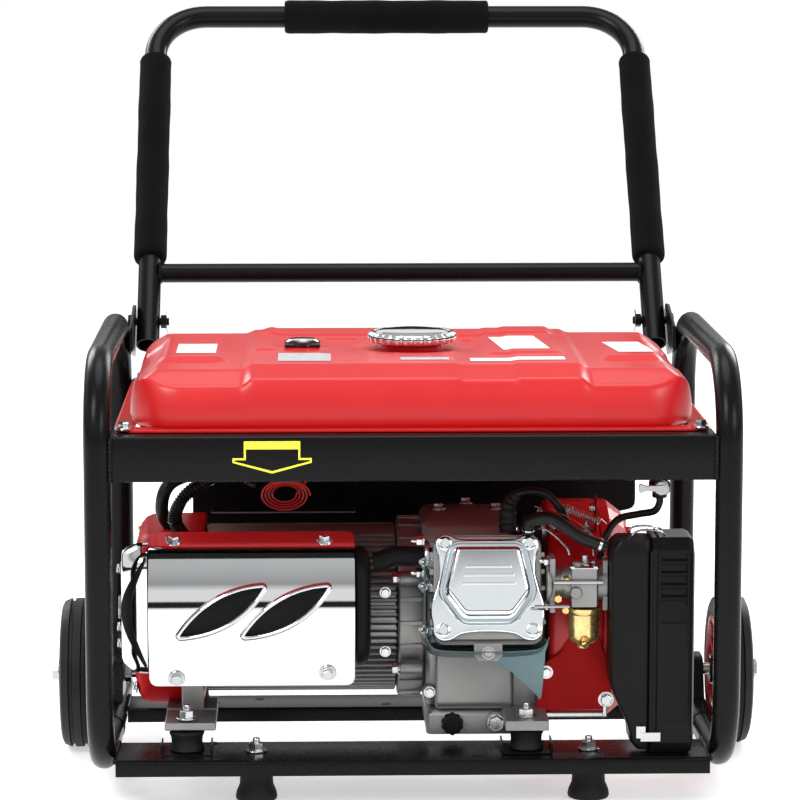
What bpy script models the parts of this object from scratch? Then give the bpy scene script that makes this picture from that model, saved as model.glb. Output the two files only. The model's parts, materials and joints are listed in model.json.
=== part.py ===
"""Open-frame portable petrol generator: tube frame, fuel tank, engine, alternator, wheels and folding handle.

Metres, +Z up. X runs along the crankshaft, -Y is the engine side, +Y the control-panel side.
The origin is on the floor below the middle of the whole machine with its handle raised.
"""
import math

import bmesh
import bpy
from mathutils import Matrix, Vector

# Driving dimensions
FRAME_MID_Y = -0.1551
FRAME_WIDTH = 0.6104
HOOP_DEPTH = 0.394
TUBE_R = 0.0127
HOOP_TOP_Z = 0.4213
RAIL_Z = 0.0395
HOOP_BEND_R = 0.075
GAP = 0.0003

CHANNEL_TOP_Z = 0.046
SHEET = 0.003
BEAM_LOW_Z = 0.314
BEAM_HIGH_Z = 0.357

WHEEL_R = 0.075
WHEEL_Y = 0.075
WHEEL_IN_X = 0.3085
WHEEL_WIDTH = 0.040
AXLE_R = 0.006

HANDLE_HALF_WIDTH = 0.2635
HANDLE_TUBE_R = 0.012
HANDLE_LEAN = math.radians(42)
HANDLE_LENGTH = 0.4145
HANDLE_STUB = 0.030
PIVOT_Y = 0.224
PIVOT_Z = 0.414

CRANK_Z = 0.157
STATOR_R = 0.084
BLOWER_R = 0.107
CYLINDER_TILT = math.radians(17.5)

TANK_HALF_X = 0.281
TANK_HALF_Y = 0.1835
TANK_TOP_Z = 0.4125
CAP_X = 0.004

HOOP_X = FRAME_WIDTH / 2 - TUBE_R
INNER_X = HOOP_X - TUBE_R - 0.0004
SIDES = (("left", -1), ("right", 1))


def clear_scene():
    for old in list(bpy.data.objects):
        bpy.data.objects.remove(old, do_unlink=True)


def at(x, y, z):
    """A point whose y is measured from the middle of the frame."""
    return Vector((x, FRAME_MID_Y + y, z))


def material(name, color, roughness=0.5, metallic=0.0):
    mat = bpy.data.materials.new(name)
    mat.use_nodes = True
    shader = mat.node_tree.nodes["Principled BSDF"]
    shader.inputs["Base Color"].default_value = (*color, 1.0)
    shader.inputs["Roughness"].default_value = roughness
    shader.inputs["Metallic"].default_value = metallic
    return mat


FINISHES = {
    "black_paint": ((0.015, 0.015, 0.016), 0.35, 0.0),
    "red_paint": ((0.60, 0.02, 0.02), 0.35, 0.0),
    "zinc": ((0.70, 0.70, 0.70), 0.35, 1.0),
    "chrome": ((0.85, 0.85, 0.87), 0.08, 1.0),
    "cast_aluminium": ((0.55, 0.56, 0.57), 0.5, 1.0),
    "steel": ((0.45, 0.45, 0.46), 0.4, 1.0),
    "rubber": ((0.02, 0.02, 0.02), 0.8, 0.0),
    "foam": ((0.012, 0.012, 0.012), 0.95, 0.0),
    "black_plastic": ((0.02, 0.02, 0.02), 0.45, 0.0),
    "gold_zinc": ((0.75, 0.55, 0.20), 0.35, 1.0),
    "red_plastic": ((0.60, 0.03, 0.03), 0.4, 0.0),
}


def finish(name, bm, look):
    """Turn a bmesh into a named object with its own material."""
    bmesh.ops.recalc_face_normals(bm, faces=bm.faces)
    mesh = bpy.data.meshes.new(name)
    bm.to_mesh(mesh)
    bm.free()
    obj = bpy.data.objects.new(name, mesh)
    bpy.context.scene.collection.objects.link(obj)
    color, roughness, metallic = FINISHES[look]
    mesh.materials.append(material(name, color, roughness, metallic))
    return obj


def box(name, low, high, look="black_paint"):
    bm = bmesh.new()
    bmesh.ops.create_cube(bm, size=1.0)
    low, high = Vector(low), Vector(high)
    size = high - low
    bm.transform(Matrix.Translation((low + high) / 2) @ Matrix.Diagonal((*size, 1.0)))
    return finish(name, bm, look)


def ring_faces(bm, rings, closed):
    count = len(rings[0])
    pairs = len(rings) if closed else len(rings) - 1
    for i in range(pairs):
        here, there = rings[i], rings[(i + 1) % len(rings)]
        for j in range(count):
            k = (j + 1) % count
            bm.faces.new((here[j], here[k], there[k], there[j]))
    if not closed:
        bm.faces.new(list(reversed(rings[0])))
        bm.faces.new(rings[-1])


def tube(name, path, radius, look="black_paint", sides=12, closed=False):
    """Sweep a round section along a path of points."""
    bm = bmesh.new()
    rings = []
    count = len(path)
    across = None
    for i, point in enumerate(path):
        before = path[i - 1] if (i or closed) else point
        after = path[(i + 1) % count] if (closed or i < count - 1) else point
        along = (Vector(after) - Vector(before)).normalized()
        if across is None:
            across = along.orthogonal().normalized()
        across = (across - along * across.dot(along)).normalized()
        other = along.cross(across)
        ring = []
        for j in range(sides):
            angle = 2 * math.pi * j / sides
            offset = across * math.cos(angle) + other * math.sin(angle)
            ring.append(bm.verts.new(Vector(point) + offset * radius))
        rings.append(ring)
    ring_faces(bm, rings, closed)
    return finish(name, bm, look)


AXES = {
    "X": Matrix(((0, 0, 1), (1, 0, 0), (0, 1, 0))).to_4x4(),
    "Y": Matrix(((1, 0, 0), (0, 0, 1), (0, -1, 0))).to_4x4(),
    "Z": Matrix.Identity(4),
}


def lathe(name, origin, axis, profile, look, sides=24, closed=False):
    """Turn (radius, height) points about an axis through origin; a closed profile makes a ring."""
    bm = bmesh.new()
    rings = []
    for radius, height in profile:
        ring = []
        for j in range(sides):
            angle = 2 * math.pi * j / sides
            ring.append(bm.verts.new((radius * math.cos(angle), radius * math.sin(angle), height)))
        rings.append(ring)
    ring_faces(bm, rings, closed)
    bm.transform(Matrix.Translation(origin) @ AXES[axis])
    return finish(name, bm, look)


def prism(name, outline, plane, low, high, look="black_paint"):
    """Extrude a flat outline; plane YZ extrudes along X, XZ along Y and XY along Z."""
    bm = bmesh.new()
    ends = []
    for depth in (low, high):
        ring = []
        for u, v in outline:
            place = {"YZ": (depth, u, v), "XZ": (u, depth, v), "XY": (u, v, depth)}[plane]
            ring.append(bm.verts.new(place))
        ends.append(ring)
    ring_faces(bm, ends, False)
    return finish(name, bm, look)


def apply_boolean(obj, tool, operation):
    modifier = obj.modifiers.new(operation, "BOOLEAN")
    modifier.operation = operation
    modifier.object = tool
    modifier.solver = "EXACT"
    graph = bpy.context.evaluated_depsgraph_get()
    mesh = bpy.data.meshes.new_from_object(obj.evaluated_get(graph))
    obj.modifiers.clear()
    slots = list(obj.data.materials)
    obj.data = mesh
    mesh.materials.clear()
    mesh.materials.append(slots[0])
    bpy.data.objects.remove(tool, do_unlink=True)
    return obj


def cut(obj, tool):
    return apply_boolean(obj, tool, "DIFFERENCE")


def join(obj, tool):
    return apply_boolean(obj, tool, "UNION")


def rotate_about(obj, point, axis, angle):
    turn = Matrix.Translation(point) @ Matrix.Rotation(angle, 4, axis) @ Matrix.Translation(-Vector(point))
    obj.data.transform(turn)
    return obj


def set_origin(obj, point):
    obj.data.transform(Matrix.Translation(-Vector(point)))
    obj.location = point
    return obj


def arc(center, radius, start, end, steps):
    """Points of a plane arc, angles in degrees."""
    points = []
    for i in range(steps + 1):
        angle = math.radians(start + (end - start) * i / steps)
        points.append((center[0] + radius * math.cos(angle), center[1] + radius * math.sin(angle)))
    return points


def rounded_rect(low, high, radius, steps=3):
    (x0, y0), (x1, y1) = low, high
    corners = (((x1 - radius, y1 - radius), 0), ((x0 + radius, y1 - radius), 90),
               ((x0 + radius, y0 + radius), 180), ((x1 - radius, y0 + radius), 270))
    outline = []
    for center, start in corners:
        outline += arc(center, radius, start, start + 90, steps)
    return outline


def cylinder(name, start, end, radius, look="zinc", sides=16):
    return tube(name, (start, end), radius, look, sides)


# Frame
def hoop(side, sign):
    outline = rounded_rect((-HOOP_DEPTH / 2, RAIL_Z), (HOOP_DEPTH / 2, HOOP_TOP_Z), HOOP_BEND_R, 6)
    path = [at(sign * HOOP_X, y, z) for y, z in outline]
    return tube(f"hoop_{side}", path, TUBE_R, "black_paint", 12, closed=True)


def tank_beam(end, sign):
    """A pressed channel between the hoops, its web facing out."""
    face = sign * (HOOP_DEPTH / 2 + 0.0065)
    web_in = face - sign * SHEET
    top_in = face - sign * 0.042
    low_in = face - sign * 0.028
    outline = [(face, BEAM_LOW_Z), (face, BEAM_HIGH_Z), (top_in, BEAM_HIGH_Z), (top_in, BEAM_HIGH_Z - SHEET),
               (web_in, BEAM_HIGH_Z - SHEET), (web_in, BEAM_LOW_Z + SHEET), (low_in, BEAM_LOW_Z + SHEET),
               (low_in, BEAM_LOW_Z)]
    points = [(FRAME_MID_Y + y, z) for y, z in outline]
    return prism(f"tank_beam_{end}", points, "YZ", -INNER_X, INNER_X)


def base_channel(end, near_y, far_y, holes):
    lip_z = CHANNEL_TOP_Z - 0.014
    plate_z = CHANNEL_TOP_Z - SHEET
    outline = [(near_y, lip_z), (near_y, CHANNEL_TOP_Z), (far_y, CHANNEL_TOP_Z), (far_y, lip_z),
               (far_y - SHEET, lip_z), (far_y - SHEET, plate_z), (near_y + SHEET, plate_z), (near_y + SHEET, lip_z)]
    points = [(FRAME_MID_Y + y, z) for y, z in outline]
    channel = prism(f"base_channel_{end}", points, "YZ", -INNER_X, INNER_X)
    for x, y, radius in holes:
        cut(channel, cylinder("hole", at(x, y, 0.02), at(x, y, 0.08), radius, sides=12))
    return channel


def foot(side, x, y):
    """Moulded rubber foot with its bonded stud and nut."""
    top = CHANNEL_TOP_Z - SHEET - GAP
    profile = [(0.0196, 0.0), (0.0200, 0.004), (0.0150, 0.016), (0.0168, top),
               (0.0040, top), (0.0040, CHANNEL_TOP_Z + GAP), (0.0085, CHANNEL_TOP_Z + GAP),
               (0.0085, CHANNEL_TOP_Z + 0.008), (0.0040, CHANNEL_TOP_Z + 0.008), (0.0040, CHANNEL_TOP_Z + 0.013)]
    return lathe(f"foot_{side}", at(x, y, 0), "Z", profile, "rubber", 18)


def isolator(name, x, y, top):
    low = CHANNEL_TOP_Z + GAP
    profile = [(0.014, low), (0.014, low + 0.003), (0.017, low + 0.004), (0.017, top - 0.004),
               (0.014, top - 0.003), (0.014, top)]
    return lathe(name, at(x, y, 0), "Z", profile, "rubber", 16)


# Wheels
def wheel_bracket(side, sign):
    """Welded block that sits on the bottom rail and carries the axle bolt."""
    inner, outer = sorted((sign * (HOOP_X - 0.008), sign * (HOOP_X + 0.008)))
    outline = [(WHEEL_Y - 0.034, 0.044), (WHEEL_Y + 0.034, 0.044), (WHEEL_Y + 0.016, WHEEL_R + 0.015),
               (WHEEL_Y - 0.016, WHEEL_R + 0.015)]
    points = [(FRAME_MID_Y + y, z) for y, z in outline]
    bracket = prism(f"wheel_bracket_{side}", points, "YZ", inner, outer)
    rail_x = sign * HOOP_X
    cut(bracket, cylinder("rail", at(rail_x, 0, RAIL_Z), at(rail_x, 0.15, RAIL_Z), TUBE_R + GAP, sides=24))
    axle_z = WHEEL_R
    cut(bracket, cylinder("bore", at(sign * 0.25, WHEEL_Y, axle_z), at(sign * 0.33, WHEEL_Y, axle_z),
                          AXLE_R + GAP, sides=16))
    return bracket


def axle_bolt(side, sign):
    """Hex bolt with washer outside the wheel and a lock nut inside the rail."""
    outer = WHEEL_IN_X + WHEEL_WIDTH + GAP
    profile = [(AXLE_R, 0.2720), (AXLE_R, 0.2760), (0.0105, 0.2760), (0.0105, 0.2840), (AXLE_R, 0.2840),
               (AXLE_R, outer), (0.0125, outer), (0.0125, outer + 0.0025), (0.0095, outer + 0.0025),
               (0.0095, outer + 0.0095)]
    bolt = lathe(f"axle_bolt_{side}", at(0, WHEEL_Y, WHEEL_R), "X", profile, "zinc", 12)
    if sign < 0:
        rotate_about(bolt, at(0, WHEEL_Y, WHEEL_R), "Z", math.pi)
    return bolt


def wheel_part(name, sign, profile, look, sides):
    part = lathe(name, at(0, WHEEL_Y, WHEEL_R), "X", profile, look, sides, closed=True)
    if sign < 0:
        rotate_about(part, at(0, WHEEL_Y, WHEEL_R), "Z", math.pi)
    middle = sign * (WHEEL_IN_X + WHEEL_WIDTH / 2)
    return set_origin(part, at(middle, WHEEL_Y, WHEEL_R))


def tyre(side, sign):
    inner, outer = WHEEL_IN_X + 0.002, WHEEL_IN_X + WHEEL_WIDTH - 0.002
    third = (outer - inner) / 3
    profile = [(0.054, inner), (0.070, inner), (WHEEL_R, inner + 0.004)]
    for groove in (inner + third, outer - third):
        profile += [(WHEEL_R, groove - 0.0015), (WHEEL_R - 0.0025, groove - 0.0015),
                    (WHEEL_R - 0.0025, groove + 0.0015), (WHEEL_R, groove + 0.0015)]
    profile += [(WHEEL_R, outer - 0.004), (0.070, outer), (0.054, outer)]
    return wheel_part(f"tyre_{side}", sign, profile, "rubber", 24)


def rim(side, sign):
    inner, outer = WHEEL_IN_X, WHEEL_IN_X + WHEEL_WIDTH
    middle = (inner + outer) / 2
    bore = AXLE_R + GAP
    profile = [(bore, inner), (0.015, inner), (0.016, middle - 0.003), (0.046, middle - 0.003), (0.047, inner + 0.004),
               (0.0536, inner + 0.004), (0.0536, outer - 0.004), (0.047, outer - 0.004), (0.046, middle + 0.003),
               (0.016, middle + 0.003), (0.015, outer), (bore, outer)]
    return wheel_part(f"rim_{side}", sign, profile, "red_plastic", 24)


# Handle
def on_handle(x, along):
    """A point of the raised handle, measured up its legs from the pivot."""
    return at(x, PIVOT_Y + along * math.sin(HANDLE_LEAN), PIVOT_Z + along * math.cos(HANDLE_LEAN))


PIVOT = at(0, PIVOT_Y, PIVOT_Z)


def handle_tube():
    """U-shaped tube with a cross brace near its pivots."""
    bend = 0.055
    width, top = HANDLE_HALF_WIDTH, HANDLE_LENGTH
    outline = [(-width, -HANDLE_STUB)]
    outline += arc((-width + bend, top - bend), bend, 180, 90, 6)
    outline += arc((width - bend, top - bend), bend, 90, 0, 6)
    outline += [(width, -HANDLE_STUB)]
    frame_tube = tube("handle_tube", [on_handle(x, along) for x, along in outline], HANDLE_TUBE_R)
    join(frame_tube, cylinder("brace", on_handle(-width, 0.0625), on_handle(width, 0.0625), 0.010))
    for _, sign in SIDES:
        near, far = on_handle(sign * (width - 0.03), 0), on_handle(sign * (width + 0.03), 0)
        cut(frame_tube, cylinder("bore", near, far, 0.0045, sides=12))
        inner, outer = on_handle(sign * width, -HANDLE_STUB - 0.01), on_handle(sign * width, -0.018)
        cut(frame_tube, cylinder("hollow", inner, outer, HANDLE_TUBE_R - 0.002))
    return set_origin(frame_tube, PIVOT)


def sleeve(name, start, end, inner_r, outer_r):
    """Foam tube around a straight stretch of the handle."""
    length = (end - start).length
    grip = lathe(name, (0, 0, 0), "Z", [(inner_r, 0), (outer_r - 0.002, 0), (outer_r, 0.002),
                                       (outer_r, length - 0.002), (outer_r - 0.002, length), (inner_r, length)],
                 "foam", 20, closed=True)
    turn = (end - start).to_track_quat("Z", "Y").to_matrix().to_4x4()
    grip.data.transform(Matrix.Translation(start) @ turn)
    return set_origin(grip, PIVOT)


def handle_grips():
    inner = HANDLE_TUBE_R + GAP
    sleeve("grip_top", on_handle(-0.122, HANDLE_LENGTH), on_handle(0.104, HANDLE_LENGTH), inner, 0.0185)
    for side, sign in SIDES:
        x = sign * HANDLE_HALF_WIDTH
        sleeve(f"grip_{side}", on_handle(x, 0.080), on_handle(x, 0.352), inner, 0.0175)


def handle_bracket(side, sign):
    """Plate welded to the hoop, with the pivot bolt and its nut."""
    low, high = sorted((sign * (INNER_X - 0.0032), sign * INNER_X))
    outline = [(0.150, 0.392), (0.205, 0.380), (0.236, 0.402), (0.238, 0.428), (0.212, 0.432), (0.150, 0.416)]
    points = [(FRAME_MID_Y + y, z) for y, z in outline]
    plate = prism(f"handle_bracket_{side}", points, "YZ", low, high)
    profile = [(0.0042, 0.2415), (0.0042, 0.2440), (0.0075, 0.2440), (0.0075, 0.2510), (0.0042, 0.2510),
               (0.0042, 0.2780), (0.0075, 0.2780), (0.0075, 0.2850)]
    bolt = lathe("bolt", at(0, PIVOT_Y, PIVOT_Z), "X", profile, "zinc", 12)
    if sign < 0:
        rotate_about(bolt, PIVOT, "Z", math.pi)
    join(plate, bolt)
    nose = on_handle(0, -0.020)
    cut(plate, cylinder("pin_hole", (low - 0.01, nose.y, nose.z), (high + 0.01, nose.y, nose.z), 0.0035, sides=12))
    return plate


def lock_pin(side, sign):
    """Spring plunger beside the pivot: pull it outward to let the handle fold."""
    nose = on_handle(0, -0.020)
    inner = INNER_X - 0.0030
    profile = [(0.0031, inner), (0.0031, INNER_X + GAP), (0.0045, INNER_X + GAP), (0.0045, INNER_X + 0.006),
               (0.0075, INNER_X + 0.006), (0.0075, INNER_X + 0.012)]
    pin = lathe(f"lock_pin_{side}", (0, nose.y, nose.z), "X", profile, "zinc", 12)
    if sign < 0:
        rotate_about(pin, (0, nose.y, nose.z), "Z", math.pi)
    return set_origin(pin, (sign * INNER_X, nose.y, nose.z))


# Fuel tank
def loft(name, levels, look):
    """Stack of rounded rectangles: (half_x, half_y, corner radius, z)."""
    bm = bmesh.new()
    rings = []
    for half_x, half_y, corner, z in levels:
        outline = rounded_rect((-half_x, -half_y), (half_x, half_y), corner)
        rings.append([bm.verts.new(at(x, y, z)) for x, y in outline])
    ring_faces(bm, rings, False)
    return finish(name, bm, look)


def fuel_tank():
    """Pressed steel tank hung by its flange on the two beams, with a filler neck."""
    rim_z = BEAM_HIGH_Z + GAP
    levels = [(0.235, 0.145, 0.03, 0.319), (0.252, 0.158, 0.03, 0.324), (0.252, 0.158, 0.03, rim_z),
              (TANK_HALF_X - 0.002, TANK_HALF_Y, 0.02, rim_z), (TANK_HALF_X - 0.002, TANK_HALF_Y, 0.02, rim_z + 0.003),
              (0.262, 0.170, 0.03, rim_z + 0.003), (0.252, 0.163, 0.03, 0.385), (0.244, 0.157, 0.03, 0.398),
              (0.225, 0.142, 0.03, TANK_TOP_Z)]
    tank = loft("fuel_tank", levels, "red_paint")
    raised = [(0.160, 0.140, 0.02, 0.405), (0.160, 0.140, 0.02, TANK_TOP_Z), (0.154, 0.134, 0.02, TANK_TOP_Z + 0.005)]
    join(tank, loft("raised", raised, "red_paint"))
    neck_top = TANK_TOP_Z + 0.009
    join(tank, cylinder("neck", at(CAP_X, 0, 0.40), at(CAP_X, 0, neck_top), 0.0300, sides=32))
    inside = [(0.233, 0.143, 0.03, 0.3210), (0.250, 0.156, 0.03, 0.3255), (0.250, 0.156, 0.03, 0.3630),
              (0.250, 0.161, 0.03, 0.3840), (0.242, 0.155, 0.03, 0.3965), (0.223, 0.140, 0.03, TANK_TOP_Z - 0.0020)]
    cut(tank, loft("inside", inside, "red_paint"))
    return cut(tank, cylinder("mouth", at(CAP_X, 0, 0.390), at(CAP_X, 0, neck_top + 0.01), 0.0262, sides=32))


def fuel_cap():
    """Cap shell that turns on a gasketed insert, which lifts out of the neck."""
    neck_top = TANK_TOP_Z + 0.009
    insert = [(0.0335, neck_top + GAP), (0.0335, neck_top + 0.0023)]
    seal = lathe("cap_insert", at(CAP_X, 0, 0), "Z", insert, "rubber", 32)
    set_origin(seal, at(CAP_X, 0, neck_top))
    base = neck_top + 0.0026
    shell = [(0.0430, base), (0.0440, base + 0.0015), (0.0420, base + 0.0060), (0.0300, base + 0.0085)]
    cap = lathe("cap_shell", at(CAP_X, 0, 0), "Z", shell, "chrome", 32)
    ring = [(0.0345, neck_top - 0.0015), (0.0425, neck_top - 0.0015), (0.0425, base + 0.0010), (0.0345, base + 0.0010)]
    join(cap, lathe("skirt", at(CAP_X, 0, 0), "Z", ring, "chrome", 32, closed=True))
    return set_origin(cap, at(CAP_X, 0, neck_top))


def fuel_gauge():
    low = TANK_TOP_Z + 0.005 + GAP
    profile = [(0.0160, low), (0.0165, low + 0.003), (0.0150, low + 0.0060), (0.0135, low + 0.0070)]
    return lathe("fuel_gauge", at(-0.103, -0.012, 0), "Z", profile, "black_plastic", 24)


# Engine
def on_cylinder(x, along, across):
    """A point measured along the tilted cylinder axis from the crankshaft, and across it."""
    c, s = math.cos(CYLINDER_TILT), math.sin(CYLINDER_TILT)
    return at(x, -along * c + across * s, CRANK_Z + along * s + across * c)


def tilted_block(name, x_range, along_range, across_range, look):
    bm = bmesh.new()
    bmesh.ops.create_cube(bm, size=1.0)
    for vert in bm.verts:
        pick = [rng[0] if value < 0 else rng[1] for rng, value in zip((x_range, along_range, across_range), vert.co)]
        vert.co = on_cylinder(*pick)
    return finish(name, bm, look)


def crankcase():
    outline = [(-0.080, 0.072), (0.080, 0.072), (0.086, 0.150), (0.060, 0.215), (-0.050, 0.225), (-0.080, 0.190)]
    points = [(FRAME_MID_Y + y, z) for y, z in outline]
    case = prism("crankcase", points, "YZ", 0.0150, 0.1320, "cast_aluminium")
    join(case, tilted_block("front", (0.024, 0.124), (0.050, 0.1000), (-0.045, 0.045), "cast_aluminium"))
    join(case, box("base", at(0.0150, -0.098, 0.0495), at(0.1050, 0.030, 0.0735), "cast_aluminium"))
    for near_y, far_y in ((-0.165, -0.060), (0.020, 0.092)):
        join(case, box("arm", at(0.088, near_y, 0.0683), at(0.1290, far_y, 0.0780), "cast_aluminium"))
    return cut(case, cylinder("bore", at(-0.1, 0, CRANK_Z), at(0.2, 0, CRANK_Z), 0.0135))


def cylinder_block():
    """Finned cylinder and head."""
    block = tilted_block("cylinder", (0.0260, 0.1180), (0.1003, 0.1470), (-0.044, 0.044), "cast_aluminium")
    for i in range(4):
        along = 0.106 + 0.0105 * i
        join(block, tilted_block("fin", (0.0205, 0.1235), (along, along + 0.0035), (-0.050, 0.050), "cast_aluminium"))
    return block


def valve_cover():
    """Pressed rocker cover: a flange with clipped corners and a raised dome."""
    bm = bmesh.new()
    rings = []
    middle = 0.0715
    for half_x, half_y, corner, along in ((0.055, 0.052, 0.012, 0.1473), (0.055, 0.052, 0.012, 0.1500),
                                          (0.043, 0.040, 0.016, 0.1520), (0.040, 0.036, 0.016, 0.1680),
                                          (0.036, 0.032, 0.016, 0.1700)):
        outline = rounded_rect((-half_x, -half_y), (half_x, half_y), corner)
        rings.append([bm.verts.new(on_cylinder(middle + x, along, y)) for x, y in outline])
    ring_faces(bm, rings, False)
    return finish("valve_cover", bm, "zinc")


def smooth_path(points, steps):
    """Catmull-Rom curve through the points."""
    points = [Vector(p) for p in points]
    ends = [2 * points[0] - points[1]] + points + [2 * points[-1] - points[-2]]
    path = []
    for i in range(1, len(ends) - 2):
        p0, p1, p2, p3 = ends[i - 1:i + 3]
        for k in range(steps):
            t = k / steps
            path.append(0.5 * (2 * p1 + (p2 - p0) * t + (2 * p0 - 5 * p1 + 4 * p2 - p3) * t * t
                               + (3 * p1 - p0 - 3 * p2 + p3) * t ** 3))
    path.append(points[-1])
    return path


def spark_lead():
    """Ignition lead from the plug boot over the head to the coil."""
    route = [at(0.092, -0.111, 0.2600), at(0.093, -0.108, 0.2760), at(0.104, -0.110, 0.2880),
             at(0.128, -0.104, 0.2860), at(0.145, -0.100, 0.2680), at(0.150, -0.085, 0.2560)]
    lead = tube("spark_lead", smooth_path(route, 5), 0.0035, "rubber", 8)
    boot = tube("boot", (at(0.092, -0.112, 0.2560), at(0.092, -0.108, 0.2740)), 0.0085, "rubber", 12)
    return join(lead, boot)


def breather_hose():
    """Hose from the rocker cover's breather to the air filter."""
    route = [at(0.110, -0.1275, 0.2530), at(0.113, -0.132, 0.2640), at(0.132, -0.142, 0.2680),
             at(0.158, -0.150, 0.2520), at(0.1830, -0.150, 0.2420)]
    return tube("breather_hose", smooth_path(route, 5), 0.0060, "rubber", 10)


def exhaust_pipe():
    route = [at(0.0185, -0.118, 0.2270), at(0.0050, -0.118, 0.2280), at(-0.0160, -0.120, 0.2290),
             at(-0.0290, -0.122, 0.2245), at(-0.0365, -0.122, 0.2235)]
    pipe = tube("exhaust_pipe", smooth_path(route, 5), 0.0095, "steel", 12)
    return pipe


def muffler_can(name, stations):
    """Oval can lofted through (x, inset) stations."""
    bm = bmesh.new()
    rings = []
    for x, inset in stations:
        outline = rounded_rect((-0.164 + inset * 0.6, 0.126 + inset), (-0.096 - inset * 0.6, 0.240 - inset),
                               0.0325 - inset * 0.6, 4)
        rings.append([bm.verts.new(at(x, y, z)) for y, z in outline])
    ring_faces(bm, rings, False)
    return finish(name, bm, "steel")


def muffler_body():
    """Pressed steel silencer with a domed cap at each end and an outlet at the left."""
    shell = 0.0020
    stations = ((-0.2740, 0.018), (-0.2690, 0.008), (-0.2520, 0.0), (-0.0520, 0.0), (-0.0430, 0.010), (-0.0390, 0.026))
    body = muffler_can("muffler_body", stations)
    hollow = ((-0.2720, 0.021), (-0.2670, 0.010), (-0.2520, shell), (-0.0520, shell), (-0.0450, 0.012))
    cut(body, muffler_can("hollow", hollow))
    return cut(body, cylinder("outlet", at(-0.290, -0.130, 0.183), at(-0.262, -0.130, 0.183), 0.0090, sides=16))


def lens_outline(start, end, bulge_low, bulge_high, steps=8):
    """Pointed oval between two tips, made of two parabolic arcs."""
    start, end = Vector(start), Vector(end)
    side = (end - start).orthogonal().normalized()
    if side.y < 0:
        side = -side
    upper, lower = [], []
    for i in range(steps + 1):
        t = i / steps
        base = start.lerp(end, t)
        lift = 4 * t * (1 - t)
        upper.append(base + side * bulge_high * lift)
        lower.append(base - side * bulge_low * lift)
    return [tuple(p) for p in upper] + [tuple(p) for p in reversed(lower[1:-1])]


def muffler_shield():
    """Curved heat shield with a flat top flange and two slanted openings."""
    thick = 0.0015
    outer = [(-0.108, 0.252)] + arc((-0.141, 0.218), 0.034, 90, 180, 6)
    outer += arc((-0.141, 0.151), 0.034, 180, 236, 4)
    inner = [(-0.108, 0.252 - thick)] + arc((-0.141, 0.218), 0.034 - thick, 90, 180, 6)
    inner += arc((-0.141, 0.151), 0.034 - thick, 180, 236, 4)
    outline = outer + list(reversed(inner))
    points = [(FRAME_MID_Y + y, z) for y, z in outline]
    shield = prism("muffler_shield", points, "YZ", -0.2480, -0.0545, "chrome")
    for shift in (0.0, 0.0605):
        lens = lens_outline((-0.216 + shift, 0.164), (-0.143 + shift, 0.208), 0.013, 0.010)
        cut(shield, prism("lens", lens, "XZ", FRAME_MID_Y - 0.19, FRAME_MID_Y - 0.15))
    return shield


def carburettor():
    """Carburettor body between the head's intake port and the filter base."""
    body = cylinder("carburettor", at(0.1272, -0.136, 0.205), at(0.1855, -0.136, 0.205), 0.0150, "cast_aluminium")
    join(body, box("flange", at(0.1300, -0.158, 0.180), at(0.1380, -0.1210, 0.230), "cast_aluminium"))
    join(body, box("valve_body", at(0.1480, -0.160, 0.184), at(0.1760, -0.1210, 0.226), "cast_aluminium"))
    return body


def float_bowl():
    profile = [(0.0050, 0.143), (0.0050, 0.147), (0.0120, 0.148), (0.0138, 0.152), (0.0138, 0.1805), (0.0150, 0.1837)]
    return lathe("float_bowl", at(0.163, -0.1405, 0), "Z", profile, "gold_zinc", 20)


def choke_lever():
    pivot = at(0.163, -0.150, 0.2264)
    lever = cylinder("choke_lever", pivot, pivot + Vector((0, 0, 0.008)), 0.0045, "zinc")
    join(lever, box("arm", pivot + Vector((-0.003, -0.024, 0.0050)), pivot + Vector((0.003, 0.002, 0.0072)), "zinc"))
    return set_origin(lever, pivot)


def filter_base():
    return prism("filter_base", [(FRAME_MID_Y + y, z) for y, z in
                                 rounded_rect((-0.176, 0.052), (-0.1235, 0.252), 0.010)],
                 "YZ", 0.1860, 0.2240, "black_plastic")


def filter_cover():
    """Outer cover with four louvre slots on its near face."""
    outline = [(FRAME_MID_Y + y, z) for y, z in rounded_rect((-0.178, 0.048), (-0.1215, 0.255), 0.012)]
    cover = prism("filter_cover", outline, "YZ", 0.2243, 0.2650, "black_plastic")
    inside = [(FRAME_MID_Y + y, z) for y, z in rounded_rect((-0.1745, 0.0515), (-0.1250, 0.2515), 0.010)]
    cut(cover, prism("hollow", inside, "YZ", 0.2200, 0.2620))
    for i in range(4):
        z = 0.192 + 0.0115 * i
        cut(cover, box("louvre", at(0.2330, -0.19, z), at(0.2560, -0.170, z + 0.005)))
    return cover


def blower_housing():
    """Pressed fan shroud around the flywheel, open towards the recoil starter."""
    inner = BLOWER_R - 0.003
    profile = [(0.0300, 0.1325), (BLOWER_R - 0.008, 0.1325), (BLOWER_R, 0.1400), (BLOWER_R, 0.1850), (inner, 0.1850),
               (inner, 0.1410), (BLOWER_R - 0.010, 0.1355), (0.0300, 0.1355)]
    housing = lathe("blower_housing", at(0, 0, CRANK_Z - 0.002), "X", profile, "red_paint", 28, closed=True)
    return housing


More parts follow.
